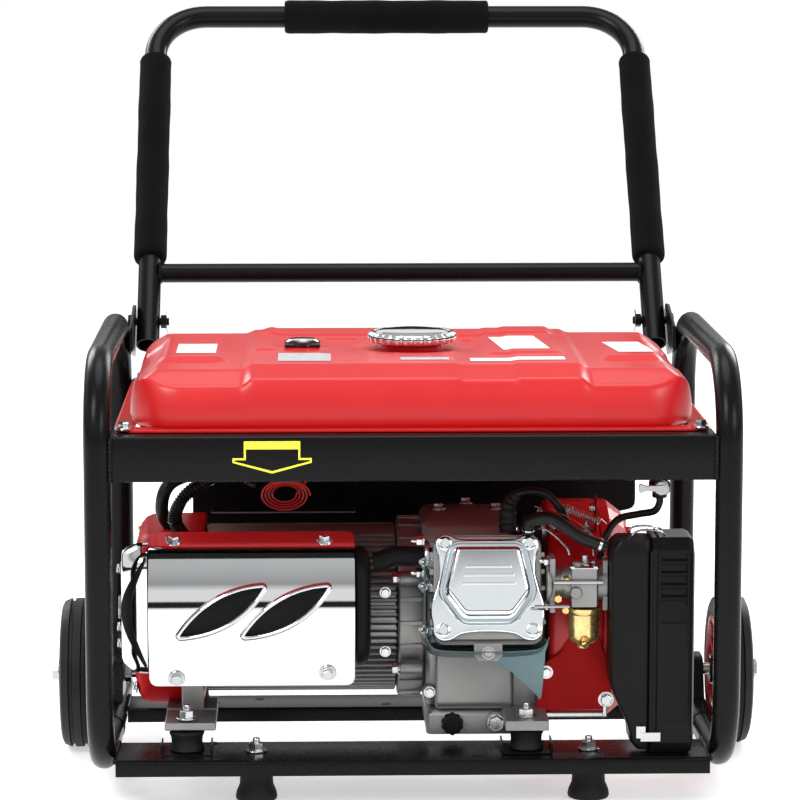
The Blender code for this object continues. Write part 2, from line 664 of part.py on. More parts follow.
def recoil_cover():
    """Starter cover with louvres round its face and a rope outlet."""
    edge = BLOWER_R
    profile = [(edge - 0.003, 0.1853), (edge, 0.1853), (edge, 0.1950), (0.0950, 0.2100), (0.0600, 0.2180),
               (0.0010, 0.2180), (0.0010, 0.2150), (0.0590, 0.2150), (0.0940, 0.2070), (edge - 0.003, 0.1935)]
    cover = lathe("recoil_cover", at(0, 0, CRANK_Z - 0.002), "X", profile, "red_paint", 28, closed=True)
    for i in range(10):
        angle = 2 * math.pi * (i + 0.5) / 10
        slot = box("slot", at(0.19, -0.006, CRANK_Z + 0.064), at(0.23, 0.006, CRANK_Z + 0.086))
        cut(cover, rotate_about(slot, at(0, 0, CRANK_Z - 0.002), "X", angle))
    rope = at(0.2020, 0, CRANK_Z + 0.045)
    join(cover, cylinder("boss", rope + Vector((0, 0.085, 0)), rope + Vector((0, 0.116, 0)), 0.0075, "red_paint"))
    return cut(cover, cylinder("eye", rope + Vector((0, 0.060, 0)), rope + Vector((0, 0.13, 0)), 0.0032, sides=12))


def starter_grip():
    """Pull grip on its straight length of rope."""
    rope = at(0.2020, 0, CRANK_Z + 0.045)
    cord = cylinder("starter_grip", rope + Vector((0, -0.075, 0)), rope + Vector((0, 0.124, 0)), 0.0024, "rubber", 10)
    grip = prism("handle", [(rope.y + y, rope.z + z) for y, z in rounded_rect((0.1190, -0.011), (0.1400, 0.011), 0.006)],
                 "YZ", rope.x - 0.030, rope.x + 0.030, "black_plastic")
    join(cord, grip)
    return set_origin(cord, rope + Vector((0, 0.118, 0)))


def crank_rotor():
    """Crankshaft carrying the alternator rotor."""
    profile = [(0.0100, -0.2300), (0.0100, -0.1950), (0.0580, -0.1850), (0.0580, -0.0350), (0.0200, -0.0250),
               (0.0130, -0.0200), (0.0130, 0.1380), (0.0100, 0.1400), (0.0100, 0.1860)]
    shaft = lathe("crank_rotor", at(0, 0, CRANK_Z), "X", profile, "steel", 24)
    return set_origin(shaft, at(0, 0, CRANK_Z))


def flywheel_fan():
    """Flywheel with cooling blades on its outer face."""
    profile = [(0.0103, 0.1420), (0.0850, 0.1420), (0.0850, 0.1620), (0.0103, 0.1620)]
    wheel = lathe("flywheel_fan", at(0, 0, CRANK_Z), "X", profile, "steel", 32, closed=True)
    for i in range(12):
        blade = box("blade", at(0.1600, -0.002, CRANK_Z + 0.045), at(0.1800, 0.002, CRANK_Z + 0.0950))
        join(wheel, rotate_about(blade, at(0, 0, CRANK_Z), "X", 2 * math.pi * i / 12))
    return set_origin(wheel, at(0, 0, CRANK_Z))


def stator_housing():
    """Ribbed alternator body with mounting arms."""
    ribs = 28
    outline = []
    for i in range(ribs):
        for share, radius in ((0.0, STATOR_R), (0.5, STATOR_R), (0.5, STATOR_R - 0.005), (1.0, STATOR_R - 0.005)):
            angle = 2 * math.pi * (i + share * 0.98) / ribs
            outline.append((FRAME_MID_Y + radius * math.cos(angle), CRANK_Z + radius * math.sin(angle)))
    body = prism("stator_housing", outline, "YZ", -0.1990, -0.0120, "cast_aluminium")
    cut(body, cylinder("bore", at(-0.25, 0, CRANK_Z), at(0.05, 0, CRANK_Z), 0.0640, sides=32))
    for near_y, far_y, web_near, web_far in ((-0.165, -0.040, -0.075, -0.040), (0.040, 0.092, 0.040, 0.075)):
        join(body, box("arm", at(-0.2350, near_y, 0.0683), at(-0.1850, far_y, 0.0780), "cast_aluminium"))
        join(body, box("web", at(-0.1985, web_near, 0.0700), at(-0.1850, web_far, 0.1150), "cast_aluminium"))
    return body


def end_bell():
    """Cast adaptor that bolts the alternator to the engine."""
    profile = [(0.0300, -0.0117), (0.0870, -0.0117), (0.0870, 0.0147), (0.0300, 0.0147)]
    bell = lathe("end_bell", at(0, 0, CRANK_Z), "X", profile, "cast_aluminium", 32, closed=True)
    join(bell, box("foot", at(-0.0117, -0.092, 0.0600), at(0.0147, 0.070, 0.0950), "cast_aluminium"))
    return bell


def end_cover():
    """Cupped cover over the slip rings, with a bearing boss inside."""
    outer = STATOR_R
    profile = [(outer - 0.003, -0.1993), (outer, -0.1993), (outer, -0.2550), (outer - 0.010, -0.2660),
               (0.0010, -0.2660), (0.0010, -0.2630), (outer - 0.013, -0.2630), (outer - 0.003, -0.2535)]
    cover = lathe("end_cover", at(0, 0, CRANK_Z), "X", profile, "red_paint", 24, closed=True)
    for i in range(4):
        z = CRANK_Z - 0.030 + 0.020 * i
        cut(cover, box("vent", at(-0.275, -0.030, z), at(-0.260, 0.030, z + 0.006)))
    return cover


def dipstick():
    """Oil filler plug with a finger grip, low on the crankcase."""
    face = -0.0983
    profile = [(0.0045, 0.0), (0.0110, 0.0), (0.0110, 0.006), (0.0100, 0.012), (0.0040, 0.013)]
    plug = lathe("dipstick", (0, 0, 0), "Z", profile, "black_plastic", 16)
    plug.data.transform(Matrix.Translation(at(0.040, face, 0.0615)) @ Matrix.Rotation(math.pi / 2, 4, "X"))
    return set_origin(plug, at(0.040, face, 0.0615))


# Controls
def panel_box():
    """Control box on the far side, open slots for the outlets left to its face plate."""
    box_body = box("panel_box", at(-0.165, 0.1100, 0.1650), at(0.085, 0.1880, 0.3110), "black_plastic")
    cut(box_body, box("switch_pocket", at(-0.132, 0.1780, 0.2480), at(-0.108, 0.2000, 0.2820)))
    cut(box_body, cylinder("breaker_pocket", at(0.060, 0.1780, 0.2650), at(0.060, 0.2000, 0.2650), 0.0060, sides=20))
    return box_body


def outlet_plate():
    """Two duplex outlets on one face plate."""
    plate = box("outlet_plate", at(-0.090, 0.1883, 0.1800), at(0.040, 0.1920, 0.2400), "black_plastic")
    for x in (-0.058, 0.008):
        for z in (0.1960, 0.2240):
            for slot in (-0.006, 0.006):
                cut(plate, box("slot", at(x + slot - 0.001, 0.1895, z - 0.004), at(x + slot + 0.001, 0.20, z + 0.004)))
    return plate


def engine_switch():
    """Rocker switch that tips in its pocket."""
    pivot = at(-0.120, 0.1850, 0.2650)
    outline = [(-0.0045, -0.0130), (0.0035, -0.0150), (0.0060, 0.0), (0.0080, 0.0140), (-0.0010, 0.0140),
               (-0.0045, 0.0)]
    points = [(pivot.y + y, pivot.z + z) for y, z in outline]
    return set_origin(prism("engine_switch", points, "YZ", -0.1285, -0.1115, "red_plastic"), pivot)


def breaker_button():
    """Push-to-reset breaker button."""
    start = at(0.060, 0.1820, 0.2650)
    button = cylinder("breaker_button", start, start + Vector((0, 0.0110, 0)), 0.0054, "black_plastic", 16)
    return set_origin(button, start)


def fuel_valve():
    """Fuel tap under the tank with its quarter-turn lever."""
    center = at(0.236, -0.120, 0.2960)
    body = cylinder("fuel_valve_body", center + Vector((0, 0, -0.012)), at(0.236, -0.120, 0.3187), 0.0060, "cast_aluminium")
    join(body, cylinder("barrel", center + Vector((0, -0.014, 0)), center + Vector((0, 0.012, 0)), 0.0080))
    face = center + Vector((0, -0.0143, 0))
    lever = cylinder("fuel_valve_lever", face, face + Vector((0, -0.0060, 0)), 0.0070, "black_plastic")
    join(lever, box("arm", face + Vector((-0.0260, -0.0060, -0.0035)), face + Vector((0, -0.0020, 0.0035))))
    return set_origin(lever, face)


def build():
    clear_scene()
    for side, sign in SIDES:
        hoop(side, sign)
        wheel_bracket(side, sign)
        axle_bolt(side, sign)
        tyre(side, sign)
        rim(side, sign)
        handle_bracket(side, sign)
        lock_pin(side, sign)
    tank_beam("near", -1)
    tank_beam("far", 1)
    base_channel("near", -0.187, -0.105, ((-0.148, -0.146, 0.0045), (0.168, -0.146, 0.0045), (-0.254, -0.170, 0.0040),
                                          (0.246, -0.170, 0.0040)))
    base_channel("far", 0.035, 0.095, ((-0.148, 0.075, 0.0050), (0.168, 0.075, 0.0050)))
    foot("left", -0.148, -0.146)
    foot("right", 0.168, -0.146)
    for name, x, y in (("near_left", -0.2137, -0.145), ("near_right", 0.1085, -0.145), ("far_left", -0.2137, 0.065),
                       ("far_right", 0.1085, 0.065)):
        isolator(f"isolator_{name}", x, y, 0.0680)
    handle_tube()
    handle_grips()
    fuel_tank()
    fuel_cap()
    fuel_gauge()
    crankcase()
    cylinder_block()
    valve_cover()
    spark_lead()
    breather_hose()
    exhaust_pipe()
    muffler_body()
    muffler_shield()
    carburettor()
    float_bowl()
    choke_lever()
    filter_base()
    filter_cover()
    blower_housing()
    recoil_cover()
    starter_grip()
    crank_rotor()
    flywheel_fan()
    stator_housing()
    end_bell()
    end_cover()
    dipstick()
    panel_box()
    outlet_plate()
    engine_switch()
    breaker_button()
    fuel_valve()


build()
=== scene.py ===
"""Studio picture of an open-frame portable generator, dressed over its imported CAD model."""
import json
import math

import bmesh
import bpy
from mathutils import Matrix, Vector


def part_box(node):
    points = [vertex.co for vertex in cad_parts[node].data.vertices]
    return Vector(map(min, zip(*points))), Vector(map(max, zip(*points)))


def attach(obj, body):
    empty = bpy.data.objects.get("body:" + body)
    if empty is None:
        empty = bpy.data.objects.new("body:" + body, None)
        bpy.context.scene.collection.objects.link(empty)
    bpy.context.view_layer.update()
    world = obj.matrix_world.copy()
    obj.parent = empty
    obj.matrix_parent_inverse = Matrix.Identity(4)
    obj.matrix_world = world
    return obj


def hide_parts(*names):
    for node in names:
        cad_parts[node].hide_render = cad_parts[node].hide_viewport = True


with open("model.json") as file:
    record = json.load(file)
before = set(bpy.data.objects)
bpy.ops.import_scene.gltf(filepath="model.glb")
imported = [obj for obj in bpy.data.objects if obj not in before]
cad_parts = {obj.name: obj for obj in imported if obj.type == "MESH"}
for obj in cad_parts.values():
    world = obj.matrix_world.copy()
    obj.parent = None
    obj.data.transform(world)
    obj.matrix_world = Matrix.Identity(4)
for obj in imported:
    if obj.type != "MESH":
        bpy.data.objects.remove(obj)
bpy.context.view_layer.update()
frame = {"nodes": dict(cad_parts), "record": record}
NODES = frame["nodes"]

# Places read from the frame
MID_Y = (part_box("hoop_left")[0].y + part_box("hoop_left")[1].y) / 2
TUBE_R = (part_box("hoop_left")[1].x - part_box("hoop_left")[0].x) / 2
HOOP_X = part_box("hoop_right")[1].x - TUBE_R
HOOP_HALF_Y = (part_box("hoop_left")[1].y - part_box("hoop_left")[0].y) / 2 - TUBE_R
HOOP_TOP_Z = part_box("hoop_left")[1].z - TUBE_R
RAIL_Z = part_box("hoop_left")[0].z + TUBE_R
HOOP_BEND_R = 0.075
BEAM_LOW_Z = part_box("tank_beam_near")[0].z
BEAM_HIGH_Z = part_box("tank_beam_near")[1].z
BEAM_FACE_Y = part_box("tank_beam_near")[0].y
CHANNEL_TOP_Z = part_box("base_channel_near")[1].z
CRANK_Z = (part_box("crank_rotor")[0].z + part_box("crank_rotor")[1].z) / 2
AXLE_Y = (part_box("tyre_left")[0].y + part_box("tyre_left")[1].y) / 2
WHEEL_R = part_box("tyre_left")[1].z / 2
CYLINDER_TILT = math.radians(17.5)
SIDES = (("left", -1), ("right", 1))


def at(x, y, z):
    """A point whose y is measured from the middle of the tube frame."""
    return Vector((x, MID_Y + y, z))


# ---------------------------------------------------------------- materials
def add_node(nodes, kind, **values):
    """Shader node with some inputs set; an underscore stands for the blank in an input's name."""
    node = nodes.new("ShaderNode" + kind)
    for key, value in values.items():
        node.inputs[key.replace("_", " ")].default_value = value
    return node


def surface(name, color, roughness=0.5, metallic=0.0, grain=400.0, bump=0.05, tint=0.08, polish=0.1, coat=0.0,
        cloud=14.0, stretch=(1.0, 1.0, 1.0), gloss=0.5):
    """Principled surface whose colour and roughness drift a little and whose grain is a fine bump."""
    mat = bpy.data.materials.new(name)
    mat.use_nodes = True
    nodes, links = mat.node_tree.nodes, mat.node_tree.links
    shader = nodes["Principled BSDF"]
    shader.inputs["Metallic"].default_value = metallic
    shader.inputs["Coat Weight"].default_value = coat
    shader.inputs["Coat Roughness"].default_value = 0.08
    shader.inputs["Specular IOR Level"].default_value = gloss
    coords = add_node(nodes, "TexCoord")
    mapping = add_node(nodes, "Mapping", Scale=stretch)
    links.new(coords.outputs["Object"], mapping.inputs["Vector"])
    drift = add_node(nodes, "TexNoise", Scale=cloud, Detail=4.0)
    links.new(mapping.outputs["Vector"], drift.inputs["Vector"])
    ramp = add_node(nodes, "ValToRGB")
    ramp.color_ramp.elements[0].position = 0.3
    ramp.color_ramp.elements[1].position = 0.7
    ramp.color_ramp.elements[0].color = (*(c * (1 - tint) for c in color), 1)
    ramp.color_ramp.elements[1].color = (*(min(1.0, c * (1 + tint)) for c in color), 1)
    links.new(drift.outputs["Fac"], ramp.inputs["Fac"])
    links.new(ramp.outputs["Color"], shader.inputs["Base Color"])
    fine = add_node(nodes, "TexNoise", Scale=grain, Detail=3.0)
    links.new(mapping.outputs["Vector"], fine.inputs["Vector"])
    spread = add_node(nodes, "MapRange", To_Min=max(0.02, roughness - polish), To_Max=min(1.0, roughness + polish))
    links.new(fine.outputs["Fac"], spread.inputs["Value"])
    links.new(spread.outputs["Result"], shader.inputs["Roughness"])
    relief = add_node(nodes, "Bump", Strength=bump, Distance=0.001)
    links.new(fine.outputs["Fac"], relief.inputs["Height"])
    links.new(relief.outputs["Normal"], shader.inputs["Normal"])
    return mat


MAT = {
    "frame": surface("frame_powder_coat", (0.0035, 0.0035, 0.0038), 0.27, grain=900, bump=0.08, gloss=0.13),
    "red": surface("tank_red_paint", (0.55, 0.011, 0.013), 0.36, grain=700, bump=0.05, tint=0.04, coat=0.06,
                   gloss=0.4),
    "dark_red": surface("shroud_red_paint", (0.36, 0.006, 0.007), 0.38, grain=700, bump=0.08, tint=0.1,
                        gloss=0.06),
    "chrome": surface("polished_chrome", (0.7, 0.71, 0.72), 0.05, 1.0, grain=60, bump=0.01, tint=0.01,
                      polish=0.02),
    "zinc": surface("zinc_plate", (0.52, 0.53, 0.54), 0.22, 1.0, grain=300, bump=0.08, tint=0.1, polish=0.08),
    "cover": surface("bright_pressed_steel", (0.78, 0.82, 0.84), 0.085, 1.0, grain=200, bump=0.02,
                     tint=0.03, polish=0.03),
    "cast": surface("cast_aluminium", (0.27, 0.27, 0.265), 0.46, 0.85, grain=420, bump=0.2, tint=0.12,
                    polish=0.1, gloss=0.4),
    "plate": surface("blued_steel_plate", (0.105, 0.155, 0.165), 0.3, 0.9, grain=260, bump=0.1, tint=0.16,
                     polish=0.08),
    "steel": surface("machined_steel", (0.45, 0.45, 0.46), 0.32, 1.0, grain=300, bump=0.08, stretch=(1, 1,
                     6)),
    "gold": surface("yellow_passivated_zinc", (0.8, 0.6, 0.26), 0.26, 0.9, grain=200, bump=0.05, tint=0.25,
                    polish=0.08,
                    cloud=60),
    "brass": surface("brass_fittings", (0.72, 0.52, 0.2), 0.28, 1.0, grain=300, bump=0.05),
    "heat_black": surface("heatproof_black", (0.004, 0.004, 0.0045), 0.45, grain=600, bump=0.12, tint=0.2,
                          gloss=0.1),
    "plastic": surface("black_moulded_plastic", (0.005, 0.005, 0.0055), 0.38, grain=1300, bump=0.14,
                       tint=0.15, gloss=0.12),
    "gloss_black": surface("gloss_black_plastic", (0.004, 0.004, 0.0045), 0.14, grain=500, bump=0.02,
                           coat=0.4),
    "rubber": surface("black_rubber", (0.006, 0.006, 0.006), 0.6, grain=500, bump=0.18, tint=0.2, gloss=0.22),
    "hose": surface("hose_rubber", (0.005, 0.005, 0.005), 0.36, grain=700, bump=0.06, tint=0.2, gloss=0.22),
    "tyre": surface("tyre_rubber", (0.008, 0.008, 0.008), 0.55, grain=350, bump=0.22, tint=0.25, gloss=0.25),
    "foam": surface("cellular_foam", (0.0035, 0.0035, 0.0035), 0.93, grain=1100, bump=0.9, tint=0.35,
                    polish=0.05, gloss=0.08),
    "rim": surface("wheel_red_plastic", (0.5, 0.012, 0.012), 0.26, grain=400, bump=0.04, tint=0.05, coat=0.3),
    "red_wire": surface("red_wire_jacket", (0.55, 0.02, 0.02), 0.35, grain=500, bump=0.03),
    "label": surface("blank_white_label", (0.82, 0.82, 0.8), 0.45, grain=300, bump=0.03, tint=0.02),
    "grey_label": surface("blank_grey_label", (0.46, 0.46, 0.47), 0.35, grain=300, bump=0.03, tint=0.15,
                          cloud=120),
    "yellow": surface("yellow_decal", (0.86, 0.8, 0.04), 0.42, grain=300, bump=0.02, tint=0.03),
    "floor": surface("studio_floor", (0.86, 0.86, 0.86), 0.65, grain=30, bump=0.0, tint=0.01),
}


# Record slot that a material stands for, where a piece names no other
USUAL_SLOT = {
    "frame": "black_frame_paint", "red": "red_paint", "dark_red": "red_plastic", "chrome": "chrome",
    "zinc": "zinc_bolts", "cover": "valve_cover_zinc", "cast": "cast_aluminium", "plate": "steel",
    "steel": "steel", "gold": "gold_zinc", "brass": "gold_zinc", "heat_black": "muffler_black",
    "plastic": "black_plastic", "gloss_black": "black_plastic", "rubber": "rubber", "hose": "rubber",
    "tyre": "tyre_rubber", "foam": "foam_grip", "rim": "red_plastic", "red_wire": "red_plastic"}


# ---------------------------------------------------------------- mesh tools
def place(obj, body, slot, replaces=()):
    """Hand a finished piece to its CAD body and hide the CAD nodes it stands for; its record slot is not used."""
    if replaces:
        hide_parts(*replaces)
    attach(obj, body)
    return obj


def make(name, bm, mat, body="frame", slot=None, replaces=(), smooth=35.0, bevel=0.0, segments=2):
    """Turn a bmesh into a shown piece, with an optional edge bevel."""
    bmesh.ops.recalc_face_normals(bm, faces=bm.faces)
    mesh = bpy.data.meshes.new(name)
    bm.to_mesh(mesh)
    bm.free()
    mesh.shade_smooth()
    mesh.set_sharp_from_angle(angle=math.radians(smooth))
    obj = bpy.data.objects.new(name, mesh)
    bpy.context.scene.collection.objects.link(obj)
    mesh.materials.append(MAT[mat])
    if bevel:
        modifier = obj.modifiers.new("edge", "BEVEL")
        modifier.width = bevel
        modifier.segments = segments
        modifier.limit_method = "ANGLE"
        modifier.angle_limit = math.radians(30)
        modifier.harden_normals = True
    return place(obj, body, slot or USUAL_SLOT[mat], replaces)


def rings_to_faces(bm, rings, closed=False, caps=True):
    """Skin a row of equal vertex rings, with end caps unless it closes on itself."""
    count = len(rings[0])
    spans = len(rings) if closed else len(rings) - 1
    for i in range(spans):
        here, there = rings[i], rings[(i + 1) % len(rings)]
        for j in range(count):
            k = (j + 1) % count
            bm.faces.new((here[j], here[k], there[k], there[j]))
    if caps and not closed:
        bm.faces.new(list(reversed(rings[0])))
        bm.faces.new(rings[-1])


def smooth_path(points, steps=6):
    """Catmull-Rom curve through the points."""
    points = [Vector(p) for p in points]
    ends = [2 * points[0] - points[1]] + points + [2 * points[-1] - points[-2]]
    path = []
    for i in range(1, len(ends) - 2):
        p0, p1, p2, p3 = ends[i - 1:i + 3]
        for k in range(steps):
            t = k / steps
            path.append(0.5 * (2 * p1 + (p2 - p0) * t + (2 * p0 - 5 * p1 + 4 * p2 - p3) * t * t
                + (3 * p1 - p0 - 3 * p2 + p3) * t ** 3))
    path.append(points[-1])
    return path


def add_tube(bm, path, radius, sides=16, closed=False, caps=True):
    """Sweep a round section along a path; radius may be a function of the share of the way along."""
    rings = []
    across = None
    count = len(path)
    for i, point in enumerate(path):
        before = path[i - 1] if (i or closed) else point
        after = path[(i + 1) % count] if (closed or i < count - 1) else point
        along = (Vector(after) - Vector(before)).normalized()
        if across is None:
            across = along.orthogonal().normalized()
        across = (across - along * across.dot(along)).normalized()
        other = along.cross(across)
        r = radius(i / (count - 1)) if callable(radius) else radius
        ring = [bm.verts.new(Vector(point) + (across * math.cos(angle) + other * math.sin(angle)) * r)
            for angle in around(sides)]
        rings.append(ring)
    rings_to_faces(bm, rings, closed, caps)


AXES = {
    "X": Matrix(((0, 0, 1), (1, 0, 0), (0, 1, 0))).to_4x4(),
    "Y": Matrix(((0, 1, 0), (0, 0, 1), (1, 0, 0))).to_4x4(),
    "-Y": Matrix(((1, 0, 0), (0, 0, -1), (0, 1, 0))).to_4x4(),
    "Z": Matrix.Identity(4),
}


def turned_matrix(origin, axis):
    """Frame at origin whose local Z is the axis, given by name or as a vector."""
    if isinstance(axis, str):
        return Matrix.Translation(origin) @ AXES[axis]
    return Matrix.Translation(origin) @ Vector(axis).to_track_quat("Z", "Y").to_matrix().to_4x4()


def spun(origin, angle):
    """Frame at origin turned about X."""
    return Matrix.Translation(origin) @ Matrix.Rotation(angle, 4, "X")


def around(count):
    """Equally spaced angles of one full turn."""
    return [2 * math.pi * j / count for j in range(count)]


def add_lathe(bm, origin, axis, profile, sides=48, closed=False):
    """Turn (radius, height) points about an axis."""
    matrix = turned_matrix(origin, axis)
    rings = []
    for radius, height in profile:
        ring = [bm.verts.new(matrix @ Vector((radius * math.cos(angle), radius * math.sin(angle), height)))
            for angle in around(sides)]
        rings.append(ring)
    rings_to_faces(bm, rings, closed)


def add_prism(bm, outline, plane, low, high):
    """Extrude a flat outline; plane YZ extrudes along X, XZ along Y and XY along Z."""
    ends = []
    for depth in (low, high):
        ring = []
        for u, v in outline:
            spot = {"YZ": (depth, u, v), "XZ": (u, depth, v), "XY": (u, v, depth)}[plane]
            ring.append(bm.verts.new(spot))
        ends.append(ring)
    rings_to_faces(bm, ends)


def add_box(bm, low, high, matrix=Matrix.Identity(4)):
    """Box between two corners, optionally moved by a matrix."""
    low, high = Vector(low), Vector(high)
    made = bmesh.ops.create_cube(bm, size=1.0)["verts"]
    for vert in made:
        vert.co = matrix @ Vector([low[i] if vert.co[i] < 0 else high[i] for i in range(3)])


def add_hex(bm, origin, axis, across, height, washer=0.0, stud=0.0):
    """Hex head or nut standing on a surface, with an optional washer under it and stud through it."""
    matrix = turned_matrix(origin, axis)
    base = 0.0
    if washer:
        add_lathe(bm, origin, axis, [(washer * 0.96, 0.0), (washer, 0.0004), (washer, 0.0012),
            (washer * 0.96, 0.0016)], 28)
        base = 0.0014
    radius = across / math.sqrt(3)
    rings = []
    for share, h in ((0.93, 0.0), (1.0, 0.0006), (1.0, height - 0.0008), (0.9, height)):
        ring = []
        for j in range(6):
            angle = math.pi * j / 3 + 0.4
            spot = Vector((radius * share * math.cos(angle), radius * share * math.sin(angle), base + h))
            ring.append(bm.verts.new(matrix @ spot))
        rings.append(ring)
    rings_to_faces(bm, rings)
    if stud:
        top = base + height
        add_lathe(bm, matrix @ Vector((0, 0, top - 0.001)), axis,
            [(across * 0.27, 0.0), (across * 0.27, stud), (across * 0.22, stud + 0.001)], 16)


def bolts(name, spots, axis, across, height, washer=0.0, stud=0.0):
    """Set of zinc hex heads or nuts shown as one piece."""
    bm = new()
    for spot in spots:
        add_hex(bm, spot, axis, across, height, washer, stud)
    make(name, bm, "zinc")


def arc(center, radius, start, end, steps):
    """Points of a circular arc, with angles in degrees."""
    points = []
    for i in range(steps + 1):
        angle = math.radians(start + (end - start) * i / steps)
        points.append((center[0] + radius * math.cos(angle), center[1] + radius * math.sin(angle)))
    return points


def rounded_rect(low, high, radius, steps=6):
    """Outline of a rectangle with rounded corners."""
    (x0, y0), (x1, y1) = low, high
    corners = (((x1 - radius, y1 - radius), 0), ((x0 + radius, y1 - radius), 90),
        ((x0 + radius, y0 + radius), 180), ((x1 - radius, y0 + radius), 270))
    outline = []
    for center, start in corners:
        outline += arc(center, radius, start, start + 90, steps)
    return outline


def smoothstep(low, high, value):
    """Smooth rise from 0 at low to 1 at high."""
    t = min(1.0, max(0.0, (value - low) / (high - low)))
    return t * t * (3 - 2 * t)


def new():
    """Empty bmesh for one piece."""
    return bmesh.new()


# ---------------------------------------------------------------- camera and light
CAMERA_LENS = 153.0
CAMERA_SPOT = at(-0.098, -3.3, 0.823)
CAMERA_TURN = (math.radians(90 - 7.95), 0, math.radians(-1.57))
# Each lamp's place, width and power; all of them aim at AIM
LAMPS = {"key": ((-1.5, -2.2, 2.4), 1.3, 52), "fill": ((1.9, -2.2, 1.5), 1.1, 22), "top": ((0.0, 0.1, 2.5), 1.7, 24),
         "rim": ((1.5, 2.2, 1.6), 1.3, 34), "back": ((-1.6, 2.0, 1.8), 1.3, 34)}
AIM = at(0, 0, 0.25)
# Brightness of the reflected sky from straight down (0) to straight up (1)
SKY = ((0.49, 0.35), (0.503, 0.02), (0.56, 0.02), (0.58, 0.95), (0.7, 0.95), (0.78, 0.4), (0.9, 0.6))


def studio():
    """Camera, lights, white world and floor."""
    scene = bpy.context.scene
    scene.view_settings.view_transform = "Standard"
    camera = bpy.data.objects.new("camera", bpy.data.cameras.new("camera"))
    scene.collection.objects.link(camera)
    camera.data.lens = CAMERA_LENS
    camera.location = CAMERA_SPOT
    camera.rotation_euler = CAMERA_TURN
    scene.camera = camera
    world = bpy.data.worlds.new("studio")
    scene.world = world
    world.use_nodes = True
    nodes, links = world.node_tree.nodes, world.node_tree.links
    background = nodes["Background"]
    background.inputs["Strength"].default_value = 1.0
    coords = add_node(nodes, "TexCoord")
    split = add_node(nodes, "SeparateXYZ")
    links.new(coords.outputs["Generated"], split.inputs["Vector"])
    ramp = add_node(nodes, "ValToRGB")
    stops = ramp.color_ramp.elements
    stops[0].position, stops[0].color = 0.0, (0.34, 0.34, 0.34, 1)
    stops[1].position, stops[1].color = 1.0, (0.62, 0.62, 0.62, 1)
    for position, value in SKY:
        stop = stops.new(position)
        stop.color = (value, value, value, 1)
    shift = add_node(nodes, "MapRange", From_Min=-1.0)
    links.new(split.outputs["Z"], shift.inputs["Value"])
    links.new(shift.outputs["Result"], ramp.inputs["Fac"])
    links.new(ramp.outputs["Color"], background.inputs["Color"])
    paper = add_node(nodes, "Background", Color=(1, 1, 1, 1))
    rays = add_node(nodes, "LightPath")
    mix = add_node(nodes, "MixShader")
    links.new(rays.outputs["Is Camera Ray"], mix.inputs["Fac"])
    links.new(background.outputs["Background"], mix.inputs[1])
    links.new(paper.outputs["Background"], mix.inputs[2])
    links.new(mix.outputs["Shader"], nodes["World Output"].inputs["Surface"])
    for name, (spot, size, energy) in LAMPS.items():
        lamp = bpy.data.objects.new(name, bpy.data.lights.new(name, "AREA"))
        scene.collection.objects.link(lamp)
        lamp.data.shape = "DISK"
        lamp.data.size = size
        lamp.data.energy = energy
        lamp.location = at(*spot)
        lamp.rotation_euler = (AIM - lamp.location).to_track_quat("-Z", "Y").to_euler()
    bm = new()
    bmesh.ops.create_grid(bm, x_segments=1, y_segments=1, size=12.0)
    mesh = bpy.data.meshes.new("floor")
    bm.to_mesh(mesh)
    bm.free()
    floor = bpy.data.objects.new("floor", mesh)
    scene.collection.objects.link(floor)
    mesh.materials.append(MAT["floor"])
    glow = MAT["floor"].node_tree.nodes["Principled BSDF"]
    glow.inputs["Emission Color"].default_value = (1, 1, 1, 1)
    glow.inputs["Emission Strength"].default_value = 0.5
    floor.location.z = -0.0005


# ---------------------------------------------------------------- tube frame
def hoop(side, sign):
    """Bent tube hoop with the swaged joint of its bottom rail."""
    bm = new()
    outline = rounded_rect((-HOOP_HALF_Y, RAIL_Z), (HOOP_HALF_Y, HOOP_TOP_Z), HOOP_BEND_R, 14)
    add_tube(bm, [at(sign * HOOP_X, y, z) for y, z in outline], TUBE_R, 32, closed=True)
    for y in (-0.02, -0.014):
        add_tube(bm, [at(sign * HOOP_X, y - 0.0022, RAIL_Z), at(sign * HOOP_X, y + 0.0022, RAIL_Z)],
            lambda t: TUBE_R + 0.0009, 32)
    make(f"hoop_{side}_tube", bm, "frame", replaces=[f"hoop_{side}"])


def weld_bead(name, points, radius=0.0028, body="frame"):
    """Row of overlapping solidified drops along a seam."""
    bm = new()
    path = smooth_path(points, 10)
    count = len(path) - 1
    add_tube(bm, path, lambda t: radius * (0.82 + 0.18 * math.cos(t * count * 2.1)), 10)
    make(name, bm, "frame", body, "black_frame_paint")


